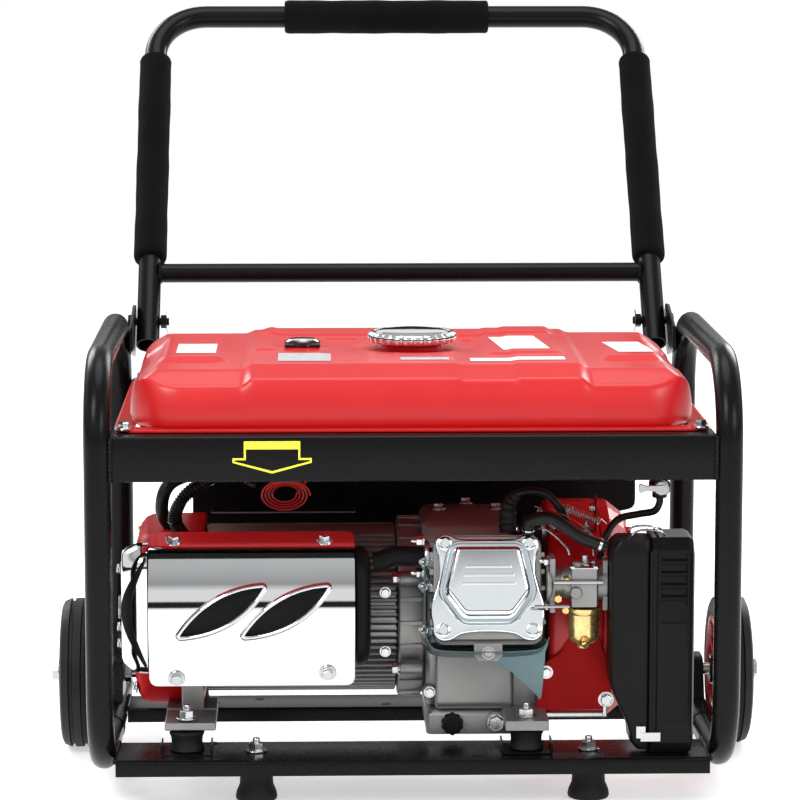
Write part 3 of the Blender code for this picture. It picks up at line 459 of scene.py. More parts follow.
def tank_beam(end, sign):
    """Folded channel with rounded bends, welded to both hoops."""
    face = sign * (HOOP_HALF_Y + 0.0065)
    inward = -sign
    thick, radius = 0.003, 0.004
    outer = [(face + inward * 0.042, BEAM_HIGH_Z)]
    outer += [(face + inward * (radius - radius * math.cos(a)), BEAM_HIGH_Z - radius + radius * math.sin(a))
        for a in (math.pi / 2 * (1 - i / 5) for i in range(6))]
    outer += [(face + inward * (radius - radius * math.cos(a)), BEAM_LOW_Z + radius - radius * math.sin(a))
        for a in (math.pi / 2 * i / 5 for i in range(6))]
    outer += [(face + inward * 0.028, BEAM_LOW_Z)]
    inner = [(face + inward * 0.028, BEAM_LOW_Z + thick), (face + inward * thick, BEAM_LOW_Z + thick),
        (face + inward * thick, BEAM_HIGH_Z - thick), (face + inward * 0.042, BEAM_HIGH_Z - thick)]
    outline = [(MID_Y + y, z) for y, z in outer + inner]
    bm = new()
    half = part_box(f"tank_beam_{end}")[1].x
    add_prism(bm, outline, "YZ", -half, half)
    make(f"beam_{end}", bm, "frame", replaces=[f"tank_beam_{end}"])
    for side, x_sign in SIDES:
        x = x_sign * (half + 0.0008)
        weld_bead(f"weld_beam_{end}_{side}", [at(x, face, z) for z in (BEAM_LOW_Z + 0.001, BEAM_LOW_Z + 0.014,
            BEAM_LOW_Z + 0.028, BEAM_HIGH_Z - 0.001)])


def arrow_decal():
    """Plain yellow arrow outline pointing down at the hot side."""
    shaft, wing, top, neck, wing_low, tip = 0.026, 0.0365, 0.0385, 0.0228, 0.0185, 0.0085
    bar = 0.031
    line = 0.0018
    cx, y = -0.131, BEAM_FACE_Y - 0.00012
    outer = [(-shaft, top), (shaft, top), (shaft, neck), (wing, neck), (wing, wing_low), (0, tip),
        (-wing, wing_low), (-wing, neck), (-shaft, neck)]
    inner = [(-shaft + line, bar), (shaft - line, bar), (shaft - line, neck - line),
        (wing - line, neck - line), (wing - line, wing_low + line * 0.7), (0, tip + line * 1.2),
        (-wing + line, wing_low + line * 0.7), (-wing + line, neck - line), (-shaft + line, neck - line)]
    bm = new()
    fronts, backs = ([[bm.verts.new((cx + x, depth, BEAM_LOW_Z + z)) for x, z in loop]
        for loop in (outer, inner)] for depth in (y - 0.0003, y))
    for j in range(len(outer)):
        k = (j + 1) % len(outer)
        bm.faces.new((fronts[0][j], fronts[0][k], fronts[1][k], fronts[1][j]))
        bm.faces.new((backs[0][j], backs[0][k], fronts[0][k], fronts[0][j]))
        bm.faces.new((fronts[1][j], fronts[1][k], backs[1][k], backs[1][j]))
        bm.faces.new((backs[1][j], backs[1][k], backs[0][k], backs[0][j]))
    make("arrow_decal", bm, "yellow", slot="black_frame_paint")


def base_channel(end):
    """Pressed channel with rounded shoulders, flared ends and its bolt holes."""
    low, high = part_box(f"base_channel_{end}")
    near, far = low.y, high.y
    lip = low.z
    thick, radius = 0.003, 0.003
    outer = [(near, lip)] + [(near + radius - radius * math.cos(a), high.z - radius + radius * math.sin(a))
        for a in (math.pi / 2 * i / 4 for i in range(5))]
    outer += [(far - radius + radius * math.sin(a), high.z - radius + radius * math.cos(a))
        for a in (math.pi / 2 * i / 4 for i in range(5))] + [(far, lip)]
    inner = [(far - thick, lip), (far - thick, high.z - thick), (near + thick, high.z - thick),
        (near + thick, lip)]
    bm = new()
    add_prism(bm, outer + inner, "YZ", low.x, high.x)
    make(f"channel_{end}", bm, "frame", replaces=[f"base_channel_{end}"])
    bm = new()
    holes = [(-0.254, -0.166), (0.246, -0.166), (-0.19, -0.112),
        (0.06, -0.17)] if end == "near" else [(-0.148, 0.075), (0.168, 0.075), (-0.192, 0.06), (-0.02, 0.05)]
    for x, y in holes:
        add_lathe(bm, at(x, y, high.z), "Z", [(0.0001, 0.0001), (0.0042, 0.0001), (0.0046, 0.0003),
            (0.0001, 0.0003)], 24)
    make(f"channel_holes_{end}", bm, "heat_black", slot="black_frame_paint")
    for side, sign in SIDES:
        x = sign * (high.x + 0.0005)
        weld_bead(f"weld_channel_{end}_{side}", [Vector((x, near + 0.002 + t * (far - near - 0.004), high.z))
            for t in (0, 0.33, 0.66, 1.0)], 0.0024)
    if end == "near":
        for side, sign in SIDES:
            bm = new()
            inner_x, outer_x = sign * 0.168, sign * (high.x - 0.001)
            corners = [(inner_x, near + 0.004), (outer_x, near + 0.004), (outer_x, near + 0.04),
                (sign * 0.24, near + 0.04)]
            if sign < 0:
                corners.reverse()
            add_prism(bm, corners, "XY", high.z - 0.0002, high.z + 0.0012)
            make(f"gusset_{side}", bm, "frame", bevel=0.0006)


def feet():
    """Two rubber feet under the near channel with their nuts."""
    for side in ("left", "right"):
        low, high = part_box(f"foot_{side}")
        center = (low + high) / 2
        base = Vector((center.x, center.y, 0))
        plate = CHANNEL_TOP_Z - 0.0033
        bm = new()
        add_lathe(bm, base, "Z", [(0.0175, 0.0), (0.0192, 0.0008), (0.0199, 0.003), (0.019, 0.008),
            (0.016, 0.015), (0.0156, 0.023), (0.0164, plate - 0.002), (0.016, plate)], 48)
        make(f"foot_{side}_rubber", bm, "rubber", replaces=[f"foot_{side}"])
        bm = new()
        top = Vector((center.x, center.y, CHANNEL_TOP_Z + 0.0003))
        add_hex(bm, top, "Z", 0.013, 0.007, washer=0.0105, stud=0.0045)
        make(f"foot_{side}_nut", bm, "zinc")


def isolators():
    """Rubber bobbins with their steel plates, under the engine and alternator arms."""
    for name in ("near_left", "near_right", "far_left", "far_right"):
        low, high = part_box(f"isolator_{name}")
        center = (low + high) / 2
        base = Vector((center.x, center.y, low.z))
        rise = high.z - low.z
        bm = new()
        add_lathe(bm, base, "Z", [(0.015, 0.0012), (0.0168, 0.003), (0.015, 0.007), (0.0146, rise / 2),
            (0.015, rise - 0.007), (0.0168, rise - 0.003), (0.015, rise - 0.0012)], 40)
        make(f"bobbin_{name}", bm, "rubber", replaces=[f"isolator_{name}"])
        bm = new()
        add_box(bm, base + Vector((-0.024, -0.022, 0.0001)), base + Vector((0.024, 0.018, 0.0016)))
        make(f"bobbin_plate_{name}", bm, "frame", bevel=0.0005)
        if name.startswith("near"):
            bm = new()
            for dx in (-0.0235, 0.0235):
                add_box(bm, base + Vector((dx - 0.0008, -0.018, 0.0016)),
                    base + Vector((dx + 0.0008, 0.014, 0.01)))
            make(f"bobbin_ears_{name}", bm, "frame", bevel=0.0004)
        bolts(f"mount_nut_{name}", [Vector((center.x, center.y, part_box("isolator_" + name)[1].z + 0.0102))],
            "Z", 0.0125, 0.007, washer=0.01, stud=0.005)


# ---------------------------------------------------------------- wheels
def wheel(side):
    """Grooved tyre, spoked rim and hub that turn together."""
    inner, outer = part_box(f"rim_{side}")[0].x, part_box(f"rim_{side}")[1].x
    middle = (inner + outer) / 2
    half = (outer - inner) / 2
    hub = Vector((middle, AXLE_Y, WHEEL_R))
    body = f"wheel_{side}"
    edge = half - 0.002
    tread = [(0.0545, -edge + 0.003), (0.06, -edge + 0.0005), (0.068, -edge + 0.001), (0.0722, -edge + 0.003),
        (WHEEL_R - 0.0004, -edge + 0.0085)]
    for groove in (-0.006, 0.006):
        tread += [(WHEEL_R, groove - 0.0022), (WHEEL_R - 0.0028, groove - 0.0014),
            (WHEEL_R - 0.0028, groove + 0.0014), (WHEEL_R, groove + 0.0022)]
    tread += [(WHEEL_R - 0.0004, edge - 0.0085), (0.0722, edge - 0.003), (0.068, edge - 0.001),
        (0.06, edge - 0.0005), (0.0545, edge - 0.003)]
    bm = new()
    add_lathe(bm, hub, "X", tread, 96, closed=True)
    make(f"tyre_{side}_rubber", bm, "tyre", body, "tyre_rubber", [f"tyre_{side}"], smooth=28)
    bm = new()
    face = half - 0.003
    dish = [(0.0543, -face), (0.05, -face - 0.0006), (0.047, -face + 0.002), (0.044, -0.006), (0.025, -0.004),
        (0.0175, -0.004), (0.0175, 0.004), (0.025, 0.004), (0.044, 0.006), (0.047, face - 0.002),
        (0.05, face + 0.0006), (0.0543, face)]
    add_lathe(bm, hub, "X", dish, 96, closed=True)
    for i in range(6):
        turn = spun(hub, math.pi * i / 3)
        for x_low, x_high in ((-half + 0.006, -0.003), (0.003, half - 0.006)):
            add_box(bm, (x_low, -0.0018, 0.016), (x_high, 0.0018, 0.046), turn)
    make(f"rim_{side}_dish", bm, "rim", body, "red_plastic", [f"rim_{side}"], smooth=40)
    bm = new()
    add_lathe(bm, hub, "X", [(0.0068, -half), (0.014, -half), (0.0155, -half + 0.002), (0.017, -0.006),
        (0.0178, -0.004), (0.0178, 0.004), (0.017, 0.006), (0.0155, half - 0.002), (0.014, half),
        (0.0068, half)], 48, closed=True)
    make(f"hub_{side}", bm, "gloss_black", body, "black_plastic")


def axle(side, sign):
    """Axle bolt with its head, washer and inner nut."""
    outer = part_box(f"rim_{side}")[1].x if sign > 0 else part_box(f"rim_{side}")[0].x
    axis = (sign, 0, 0)
    bm = new()
    face = Vector((outer + sign * 0.0004, AXLE_Y, WHEEL_R))
    add_hex(bm, face, axis, 0.016, 0.0068, washer=0.0122)
    add_lathe(bm, Vector((sign * 0.272, AXLE_Y, WHEEL_R)), axis, [(0.0055, 0.0), (0.0059, 0.0008),
        (0.0059, abs(outer) - 0.272)], 32)
    add_hex(bm, Vector((sign * 0.2842, AXLE_Y, WHEEL_R)), (-sign, 0, 0), 0.017, 0.008)
    make(f"axle_{side}", bm, "zinc", replaces=[f"axle_bolt_{side}"])


# ---------------------------------------------------------------- handle
HANDLE_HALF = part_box("handle_tube")[1].x - 0.012
HANDLE_TUBE_R = 0.012
HANDLE_LEAN = math.radians(42)
HANDLE_LENGTH = 0.4145
PIVOT_Y, PIVOT_Z = 0.224, 0.414


def on_handle(x, along):
    """Point in the plane of the handle at a distance along it from the pivot."""
    return at(x, PIVOT_Y + along * math.sin(HANDLE_LEAN), PIVOT_Z + along * math.cos(HANDLE_LEAN))


def handle_tubes():
    """Bent handle tube with open swaged ends, cross brace and welds."""
    bend = 0.055
    outline = [(-HANDLE_HALF, -0.03), (-HANDLE_HALF, 0.1)]
    outline += arc((-HANDLE_HALF + bend, HANDLE_LENGTH - bend), bend, 180, 90, 14)
    outline += arc((HANDLE_HALF - bend, HANDLE_LENGTH - bend), bend, 90, 0, 14)
    outline += [(HANDLE_HALF, 0.1), (HANDLE_HALF, -0.03)]
    bm = new()
    add_tube(bm, [on_handle(x, along) for x, along in outline], HANDLE_TUBE_R, 32, caps=False)
    axis = on_handle(0, 1) - on_handle(0, 0)
    for sign in (-1, 1):
        end = on_handle(sign * HANDLE_HALF, -0.03)
        add_lathe(bm, end, axis, [(HANDLE_TUBE_R, 0.0), (HANDLE_TUBE_R - 0.0018, 0.0),
            (HANDLE_TUBE_R - 0.0018, 0.06), (HANDLE_TUBE_R, 0.06)], 32, closed=True)
    make("handle_bend", bm, "frame", "handle", "black_frame_paint", ["handle_tube"])
    bm = new()
    reach = HANDLE_HALF - HANDLE_TUBE_R + 0.002
    add_tube(bm, [on_handle(-reach, 0.0625), on_handle(reach, 0.0625)], 0.01, 28)
    make("handle_brace", bm, "frame", "handle", "black_frame_paint")
    for side, sign in SIDES:
        ring = []
        for i in range(13):
            angle = 2 * math.pi * i / 12
            ring.append(on_handle(sign * (reach - 0.001), 0.0625 + 0.0105 * math.sin(angle))
                + Vector((0, 0.0105 * math.cos(angle) * math.cos(HANDLE_LEAN),
                -0.0105 * math.cos(angle) * math.sin(HANDLE_LEAN))))
        weld_bead(f"weld_brace_{side}", ring, 0.0016, "handle")


def foam_sleeve(name, start, end, outer_r):
    """Foam grip with soft rounded ends and a slightly uneven skin."""
    length = (end - start).length
    profile = [(HANDLE_TUBE_R + 0.0003, 0.0), (outer_r - 0.003, 0.0), (outer_r - 0.0008, 0.001),
        (outer_r, 0.0035)]
    steps = 40
    for i in range(1, steps):
        t = i / steps
        profile.append((outer_r + 0.00025 * math.sin(t * 19.0) + 0.00015 * math.sin(t * 43.0 + 1.0),
            t * length))
    profile += [(outer_r, length - 0.0035), (outer_r - 0.0008, length - 0.001), (outer_r - 0.003, length),
        (HANDLE_TUBE_R + 0.0003, length)]
    bm = new()
    add_lathe(bm, start, end - start, profile, 48, closed=True)
    obj = make(f"{name}_foam", bm, "foam", "handle", "foam_grip", [name])


def handle_grips():
    """Three foam sleeves on the handle."""
    foam_sleeve("grip_top", on_handle(-0.122, HANDLE_LENGTH), on_handle(0.104, HANDLE_LENGTH), 0.0183)
    for side, sign in SIDES:
        x = sign * HANDLE_HALF
        foam_sleeve(f"grip_{side}", on_handle(x, 0.08), on_handle(x, 0.352), 0.0173)


def handle_pivot(side, sign):
    """Bracket plate, pivot bolt with its nut and split pin, and the spring plunger."""
    low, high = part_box(f"handle_bracket_{side}")
    plate_low, plate_high = sorted((sign * 0.2762, sign * 0.2794))
    outline = [(0.15, 0.392), (0.205, 0.38), (0.228, 0.393), (0.238, 0.406), (0.24, 0.42), (0.23, 0.431),
        (0.212, 0.432), (0.15, 0.416)]
    bm = new()
    add_prism(bm, [(MID_Y + y, z) for y, z in outline], "YZ", plate_low, plate_high)
    make(f"pivot_plate_{side}", bm, "frame", replaces=[f"handle_bracket_{side}"], bevel=0.0006)
    bm = new()
    pivot = at(0, PIVOT_Y, PIVOT_Z)
    add_lathe(bm, Vector((sign * 0.242, pivot.y, pivot.z)), (sign, 0, 0),
        [(0.0037, 0.0), (0.0041, 0.0006), (0.0041, 0.04)], 24)
    add_hex(bm, Vector((sign * 0.2505, pivot.y, pivot.z)), (-sign, 0, 0), 0.012, 0.0062)
    add_hex(bm, Vector((sign * 0.2796, pivot.y, pivot.z)), (sign, 0, 0), 0.013, 0.005)
    make(f"pivot_bolt_{side}", bm, "heat_black", slot="zinc_bolts")
    bm = new()
    clip = [(0.2448, 0.006, 0.01), (0.2448, 0.001, 0.006), (0.2448, -0.004, 0.0), (0.2448, -0.001, -0.006),
        (0.244, 0.004, -0.012)]
    add_tube(bm, smooth_path([(sign * x, pivot.y + y, pivot.z + z) for x, y, z in clip], 5), 0.0008, 8)
    make(f"pivot_clip_{side}", bm, "steel", slot="zinc_bolts")
    low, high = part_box(f"lock_pin_{side}")
    center = (low + high) / 2
    start = Vector((sign * min(abs(low.x), abs(high.x)), center.y, center.z))
    bm = new()
    add_lathe(bm, start, (sign, 0, 0), [(0.002, 0.0), (0.0031, 0.0012), (0.0031, 0.0033), (0.0045, 0.0035),
        (0.0045, 0.0088), (0.0068, 0.0092), (0.0074, 0.01), (0.0074, 0.0142), (0.0066, 0.015)], 28)
    make(f"plunger_{side}", bm, "zinc", f"lock_pin_{side}", "zinc_bolts", [f"lock_pin_{side}"])


def wheel_bracket(side):
    """Gusset welded on the rail that carries the axle bolt."""
    low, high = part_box(f"wheel_bracket_{side}")
    bm = new()
    outline = [(0.041, 0.0505), (0.109, 0.0505), (0.0935, 0.086), (0.09, 0.0895), (0.086, 0.0905),
        (0.064, 0.0905), (0.06, 0.0895), (0.0565, 0.086)]
    add_prism(bm, [(MID_Y + y, z) for y, z in outline], "YZ", low.x, high.x)
    make(f"axle_gusset_{side}", bm, "frame", replaces=[f"wheel_bracket_{side}"], bevel=0.0008)


# ---------------------------------------------------------------- fuel tank
TANK_X, TANK_Y = 0.262, 0.17
TANK_LOW_Z = 0.3603
CAP_X = 0.004
TANK_CORNER = 0.045
WALL = ((0.0, 0.0), (0.02, -0.0012), (0.08, -0.0022), (0.25, -0.0028), (0.5, -0.0024), (0.72, -0.001),
    (0.85, 0.0004), (0.93, 0.0018), (0.98, 0.0036), (1.0, 0.0058))


def tank_outline(steps_x=170, steps_y=110):
    """Edge of the tank as (x, y, outward x, outward y), evenly close all round."""
    points = []
    for (cx, cy), start in (((1, 1), 0), ((-1, 1), 90), ((-1, -1), 180), ((1, -1), 270)):
        for i in range(25):
            angle = math.radians(start + 90 * i / 24)
            points.append((cx * (TANK_X - TANK_CORNER) + TANK_CORNER * math.cos(angle),
                cy * (TANK_Y - TANK_CORNER) + TANK_CORNER * math.sin(angle), math.cos(angle),
                math.sin(angle)))
        nx, ny = {0: (0, 1), 90: (-1, 0), 180: (0, -1), 270: (1, 0)}[start]
        rows = steps_y if nx else steps_x
        for k in range(1, rows):
            t = 1 - 2 * k / rows
            points.append((nx * TANK_X, (TANK_Y - TANK_CORNER) * t * -nx, nx, ny) if nx
                else ((TANK_X - TANK_CORNER) * t * ny, ny * TANK_Y, nx, ny))
    return points


def pad(x, y, x0, x1, y0, y1, soft=0.0045):
    """1 inside a rectangle, 0 outside, with sloping edges."""
    return (smoothstep(x0 - soft, x0 + soft, x) * (1 - smoothstep(x1 - soft, x1 + soft,
        x)) * smoothstep(y0 - soft, y0 + soft, y) * (1 - smoothstep(y1 - soft, y1 + soft, y)))


def soft_min(values, soft=0.0012):
    """Smallest of the values, blended where two come close."""
    low = min(values)
    return low - soft * math.log(sum(math.exp((low - v) / soft) for v in values)) * 0.5


def tank_height(x, y):
    """Height of the pressed tank top: stepped shoulders, plateau, pads and the bowls of cap and gauge."""
    middle = smoothstep(-0.161, -0.149, x) * (1 - smoothstep(0.156, 0.168, x))
    middle -= 0.28 * smoothstep(0.041, 0.047, x) * (1 - smoothstep(0.094, 0.1, x))
    inset_y, inset_x = TANK_Y - abs(y), TANK_X - abs(x)
    shoulder = 0.3965 + 0.0078 * middle
    slope = 0.56 - 0.2 * middle
    front = shoulder + slope * inset_y
    side = 0.3965 + 0.7 * inset_x - 0.003 * pad(y, 0, -0.06, 0.06, -1, 1)
    corner = 0.3965 + 0.5 * (inset_x + inset_y - 0.012)
    height = soft_min((front, side, corner, 0.4118 + 0.0044 * middle))
    inner = smoothstep(0.0, 0.022, inset_y - 0.03) * smoothstep(0.0, 0.01, inset_x - 0.014)
    height += 0.0046 * pad(x, y, -0.238, -0.178, -0.088, 0.095, 0.007) * inner
    height += 0.0046 * pad(x, y, 0.186, 0.24, -0.088, 0.095, 0.007) * inner
    height += 0.0022 * pad(x, y, 0.076, 0.146, -0.066, 0.12, 0.006)
    height += 0.0022 * pad(x, y, -0.15, -0.128, -0.04, 0.12, 0.006)
    height += 0.0026 * pad(x, y, -0.14, 0.146, 0.075, 0.13, 0.006)
    height -= 0.0022 * pad(x, y, -0.082, -0.046, -0.06, 0.06, 0.006)
    height -= 0.0022 * pad(x, y, 0.052, 0.066, -0.07, 0.05, 0.005)
    bowl = math.hypot(x - CAP_X, y)
    height -= 0.003 * (1 - smoothstep(0.044, 0.062, bowl))
    seat = math.hypot(x + 0.103, y + 0.012)
    height += (0.4172 - height) * (1 - smoothstep(0.018, 0.026, seat))
    return height


def build_tank():
    """Pressed red tank: walls, top skin down to the cap seat, and pan."""
    outline = tank_outline()
    bm = new()
    rings = []
    final = WALL[-1][1]
    tops = [tank_height(x - nx * final, y - ny * final) for x, y, nx, ny in outline]
    for share, inset in WALL:
        rings.append([bm.verts.new(at(x - nx * inset, y - ny * inset,
            TANK_LOW_Z + share * (top - TANK_LOW_Z))) for (x, y, nx, ny), top in zip(outline, tops)])
    base = [bm.verts.new(v.co + Vector((0, 0, -0.0006))) for v in rings[0]]
    rings_to_faces(bm, [base] + rings, caps=False)
    edge = [(v.co.x, v.co.y - MID_Y) for v in rings[-1]]
    last = rings[-1]
    mouth = []
    for x, y in edge:
        angle = math.atan2(y, x - CAP_X)
        mouth.append((CAP_X + 0.031 * math.cos(angle), 0.031 * math.sin(angle)))
    steps = 78
    for k in range(1, steps + 1):
        t = k / steps
        t = 0.62 * t + 0.38 * t * t
        ring = []
        for (x0, y0), (x1, y1) in zip(edge, mouth):
            x, y = x0 + (x1 - x0) * t, y0 + (y1 - y0) * t
            ring.append(bm.verts.new(at(x, y, tank_height(x, y))))
        rings_to_faces(bm, [last, ring], caps=False)
        last = ring
    for radius, z in ((0.0292, 0.415), (0.0288, 0.42), (0.028, 0.4208), (0.0268, 0.4206), (0.0266, 0.395)):
        ring = []
        for x, y in mouth:
            angle = math.atan2(y, x - CAP_X)
            ring.append(bm.verts.new(at(CAP_X + radius * math.cos(angle), radius * math.sin(angle), z)))
        rings_to_faces(bm, [last, ring], caps=False)
        last = ring
    make("tank_shell", bm, "red", replaces=["fuel_tank"], smooth=60)
    half_x, half_y, corner = 0.2785, 0.183, 0.026
    bm = new()
    profile = ((0.012, 0.35735), (0.0012, 0.35735), (0.0002, 0.3577), (0.0, 0.3586), (0.0002, 0.3596),
        (0.0012, 0.36015), (0.003, 0.36025), (0.0045, 0.3598), (0.007, 0.3597), (0.02, 0.36015))
    rings = []
    for inset, z in profile:
        loop = rounded_rect((-half_x + inset, -half_y + inset), (half_x - inset, half_y - inset),
            max(0.006, corner - inset), 10)
        rings.append([bm.verts.new(at(x, y, z)) for x, y in loop])
    rings_to_faces(bm, rings, caps=False)
    make("tank_flange", bm, "red", smooth=40)
    bm = new()
    rings = []
    for z, inset in ((0.3573, 0.022), (0.34, 0.026), (0.326, 0.034), (0.3205, 0.044), (0.3192, 0.06)):
        loop = rounded_rect((-half_x + inset, -half_y + inset), (half_x - inset, half_y - inset), 0.03, 8)
        rings.append([bm.verts.new(at(x, y, z)) for x, y in loop])
    rings_to_faces(bm, rings)
    make("tank_pan", bm, "red", smooth=40)


def build_tank_trim():
    """Tank corner bolts and the blank stickers on its top."""
    bm = new()
    for x in (-0.2685, 0.2685):
        for y in (-0.1745, 0.1745):
            add_lathe(bm, at(x, y, 0.3601), "Z", [(0.0088, 0.0), (0.0093, 0.0004), (0.0088, 0.0014),
                (0.006, 0.0022), (0.0045, 0.0024)], 36)
            add_hex(bm, at(x, y, 0.3622), "Z", 0.0092, 0.0048)
    make("tank_bolts", bm, "zinc")
    for name, mat, patches in (("tank_stickers", "label", ((-0.224, -0.186, -0.06, 0.01),
            (0.086, 0.131, -0.05, 0.052), (0.196, 0.232, -0.062, 0.016), (0.056, 0.146, -0.118, -0.095))),
            ("tank_strips", "grey_label", ((-0.01, 0.036, -0.116, -0.097),
            (-0.126, -0.076, -0.122, -0.062)))):
        bm = new()
        for x0, x1, y0, y1 in patches:
            grid = []
            lean = 0.01 if x0 > 0.08 and y1 > 0 else 0.0
            for j in range(13):
                v = j / 12
                row = []
                for i in range(13):
                    x = x0 + (x1 - x0) * i / 12 - lean * (v - 0.5)
                    y = y0 + (y1 - y0) * v
                    row.append(bm.verts.new(at(x, y, tank_height(x, y) + 0.0004)))
                grid.append(row)
            for a, b in zip(grid, grid[1:]):
                for i in range(12):
                    bm.faces.new((a[i], a[i + 1], b[i + 1], b[i]))
        make(name, bm, mat, slot="red_paint")


def build_cap():
    """Chrome screw cap: scalloped skirt, stepped crown and the black bayonet ring inside."""
    base = at(CAP_X, 0, 0.42)
    bm = new()
    sides = 216
    crown = ((0.0408, 0.0, 0), (0.0432, 0.0006, 1), (0.0438, 0.0018, 1), (0.0438, 0.0068, 1),
        (0.0432, 0.0084, 0.8), (0.0412, 0.0098, 0.2), (0.039, 0.0104, 0), (0.0376, 0.0104, 0),
        (0.0368, 0.0098, 0), (0.0352, 0.0098, 0), (0.034, 0.0106, 0), (0.031, 0.0115, 0), (0.022, 0.0122, 0),
        (0.01, 0.0125, 0), (0.0004, 0.0126, 0))
    rings = []
    for radius, height, wave in crown:
        ring = []
        for angle in around(sides):
            lobe = abs(math.sin(angle * 12)) ** 0.5
            r = radius - wave * 0.0016 * (1 - lobe)
            ring.append(bm.verts.new(base + Vector((r * math.cos(angle), r * math.sin(angle), height))))
        rings.append(ring)
    rings_to_faces(bm, rings)
    make("cap_chrome", bm, "chrome", "cap_shell", "chrome", ["cap_shell"], smooth=50)
    bm = new()
    add_lathe(bm, at(CAP_X, 0, 0.4002), "Z", [(0.018, 0.0), (0.024, 0.0), (0.0246, 0.001), (0.0246, 0.016),
        (0.0246, 0.0213), (0.033, 0.0214), (0.0334, 0.0222), (0.033, 0.0234), (0.018, 0.0234)], 64,
        closed=True)
    make("cap_bayonet", bm, "plastic", "cap_insert", "black_plastic", ["cap_insert"])


def build_gauge():
    """Fuel gauge: black bezel with a chrome cover, a dial window and a needle."""
    spot = at(-0.103, -0.012, 0.4176)
    bm = new()
    add_lathe(bm, spot, "Z", [(0.0158, 0.0), (0.0165, 0.0006), (0.0165, 0.0046), (0.0155, 0.0058),
        (0.0148, 0.0062), (0.0142, 0.0058), (0.0136, 0.0052), (0.0004, 0.0052)], 64)
    make("gauge_bezel", bm, "gloss_black", replaces=["fuel_gauge"])
    bm = new()
    add_lathe(bm, spot, "Z", [(0.0134, 0.005), (0.014, 0.006), (0.0134, 0.0067), (0.01, 0.007),
        (0.0004, 0.0072)], 48)
    make("gauge_top", bm, "chrome", slot="black_plastic")
    bm = new()
    add_box(bm, spot + Vector((-0.0175, -0.015, 0.0)), spot + Vector((0.0175, 0.015, 0.0035)))
    make("gauge_body", bm, "gloss_black", bevel=0.0012, segments=3)


def build_fuel_valve():
    """Fuel tap under the tank with its filter cup, lever and outlet barb."""
    body_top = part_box("fuel_valve_body")[1].z
    cx, cy = 0.236, -0.12
    bm = new()
    add_lathe(bm, at(cx, cy, 0.2845), "Z", [(0.0065, 0.0), (0.0072, 0.0008), (0.0072, 0.0095), (0.01, 0.011),
        (0.01, 0.015), (0.0068, 0.0165), (0.006, body_top - 0.285)], 32)
    add_lathe(bm, at(cx, -0.108, 0.296), "-Y", [(0.0094, 0.0), (0.0094, 0.0235), (0.0086, 0.0248)], 32)
    make("fuel_tap", bm, "plastic", replaces=["fuel_valve_body"])
    bm = new()
    lever_low, lever_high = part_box("fuel_valve_lever")
    y_out, y_in = lever_low.y, lever_high.y
    add_lathe(bm, Vector((cx, y_in, 0.296)), "-Y", [(0.007, 0.0), (0.0074, 0.0006), (0.0074, 0.003),
        (0.0062, 0.0038)], 32)
    add_prism(bm, [(cx + 0.004, 0.2925), (cx + 0.004, 0.2995), (cx - 0.014, 0.2985), (cx - 0.0205, 0.3005),
        (cx - 0.0215, 0.2985), (cx - 0.0215, 0.2935), (cx - 0.0205, 0.2915), (cx - 0.014, 0.2935)], "XZ",
        y_out + 0.0006, y_in - 0.0008)
    make("fuel_lever", bm, "steel", "fuel_valve_lever", "steel", ["fuel_valve_lever"], bevel=0.0005)


# ---------------------------------------------------------------- engine block and cylinder
CYL_MATRIX = Matrix.Translation(at(0, 0, CRANK_Z)) @ Matrix((
    (1, 0, 0, 0), (0, math.sin(CYLINDER_TILT), -math.cos(CYLINDER_TILT), 0),
    (0, math.cos(CYLINDER_TILT), math.sin(CYLINDER_TILT), 0), (0, 0, 0, 1)))
COVER_X = 0.0715


def outline_rings(bm, outline, levels, matrix):
    """Loft one flat outline through (height, inset) levels in a local frame."""
    rings = []
    count = len(outline)
    for height, inset in levels:
        ring = []
        for j, (u, v) in enumerate(outline):
            before, after = Vector(outline[j - 1]), Vector(outline[(j + 1) % count])
            edge = (after - before).normalized()
            normal = Vector((edge.y, -edge.x))
            ring.append(bm.verts.new(matrix @ Vector((u - normal.x * inset, v - normal.y * inset, height))))
        rings.append(ring)
    rings_to_faces(bm, rings)


def closed_smooth(points, steps=5):
    """Closed Catmull-Rom outline through flat points."""
    count = len(points)
    loop = []
    for i in range(count):
        p0, p1, p2, p3 = (Vector(points[(i + k - 1) % count]) for k in range(4))
        for k in range(steps):
            t = k / steps
            loop.append(tuple(0.5 * (2 * p1 + (p2 - p0) * t + (2 * p0 - 5 * p1 + 4 * p2 - p3) * t * t
                + (3 * p1 - p0 - 3 * p2 + p3) * t ** 3)))
    return loop


def rounded_polygon(points, radius, steps=5):
    """Polygon whose corners are replaced by quadratic bends."""
    loop = []
    count = len(points)
    for i in range(count):
        here = Vector(points[i])
        before, after = Vector(points[i - 1]) - here, Vector(points[(i + 1) % count]) - here
        start, end = here + before.normalized() * radius, here + after.normalized() * radius
        for k in range(steps + 1):
            t = k / steps
            loop.append(tuple(start * (1 - t) ** 2 + here * 2 * t * (1 - t) + end * t ** 2))
    return loop


COVER_EDGE = ((0.034, 0.0505), (0.042, 0.0515), (0.0482, 0.046), (0.049, 0.038), (0.0462, 0.028),
    (0.0455, 0.014), (0.049, 0.0), (0.053, -0.014), (0.0535, -0.026), (0.052, -0.036), (0.051, -0.044),
    (0.044, -0.0497), (0.035, -0.049), (0.026, -0.044), (0.014, -0.042), (0.0, -0.0415))


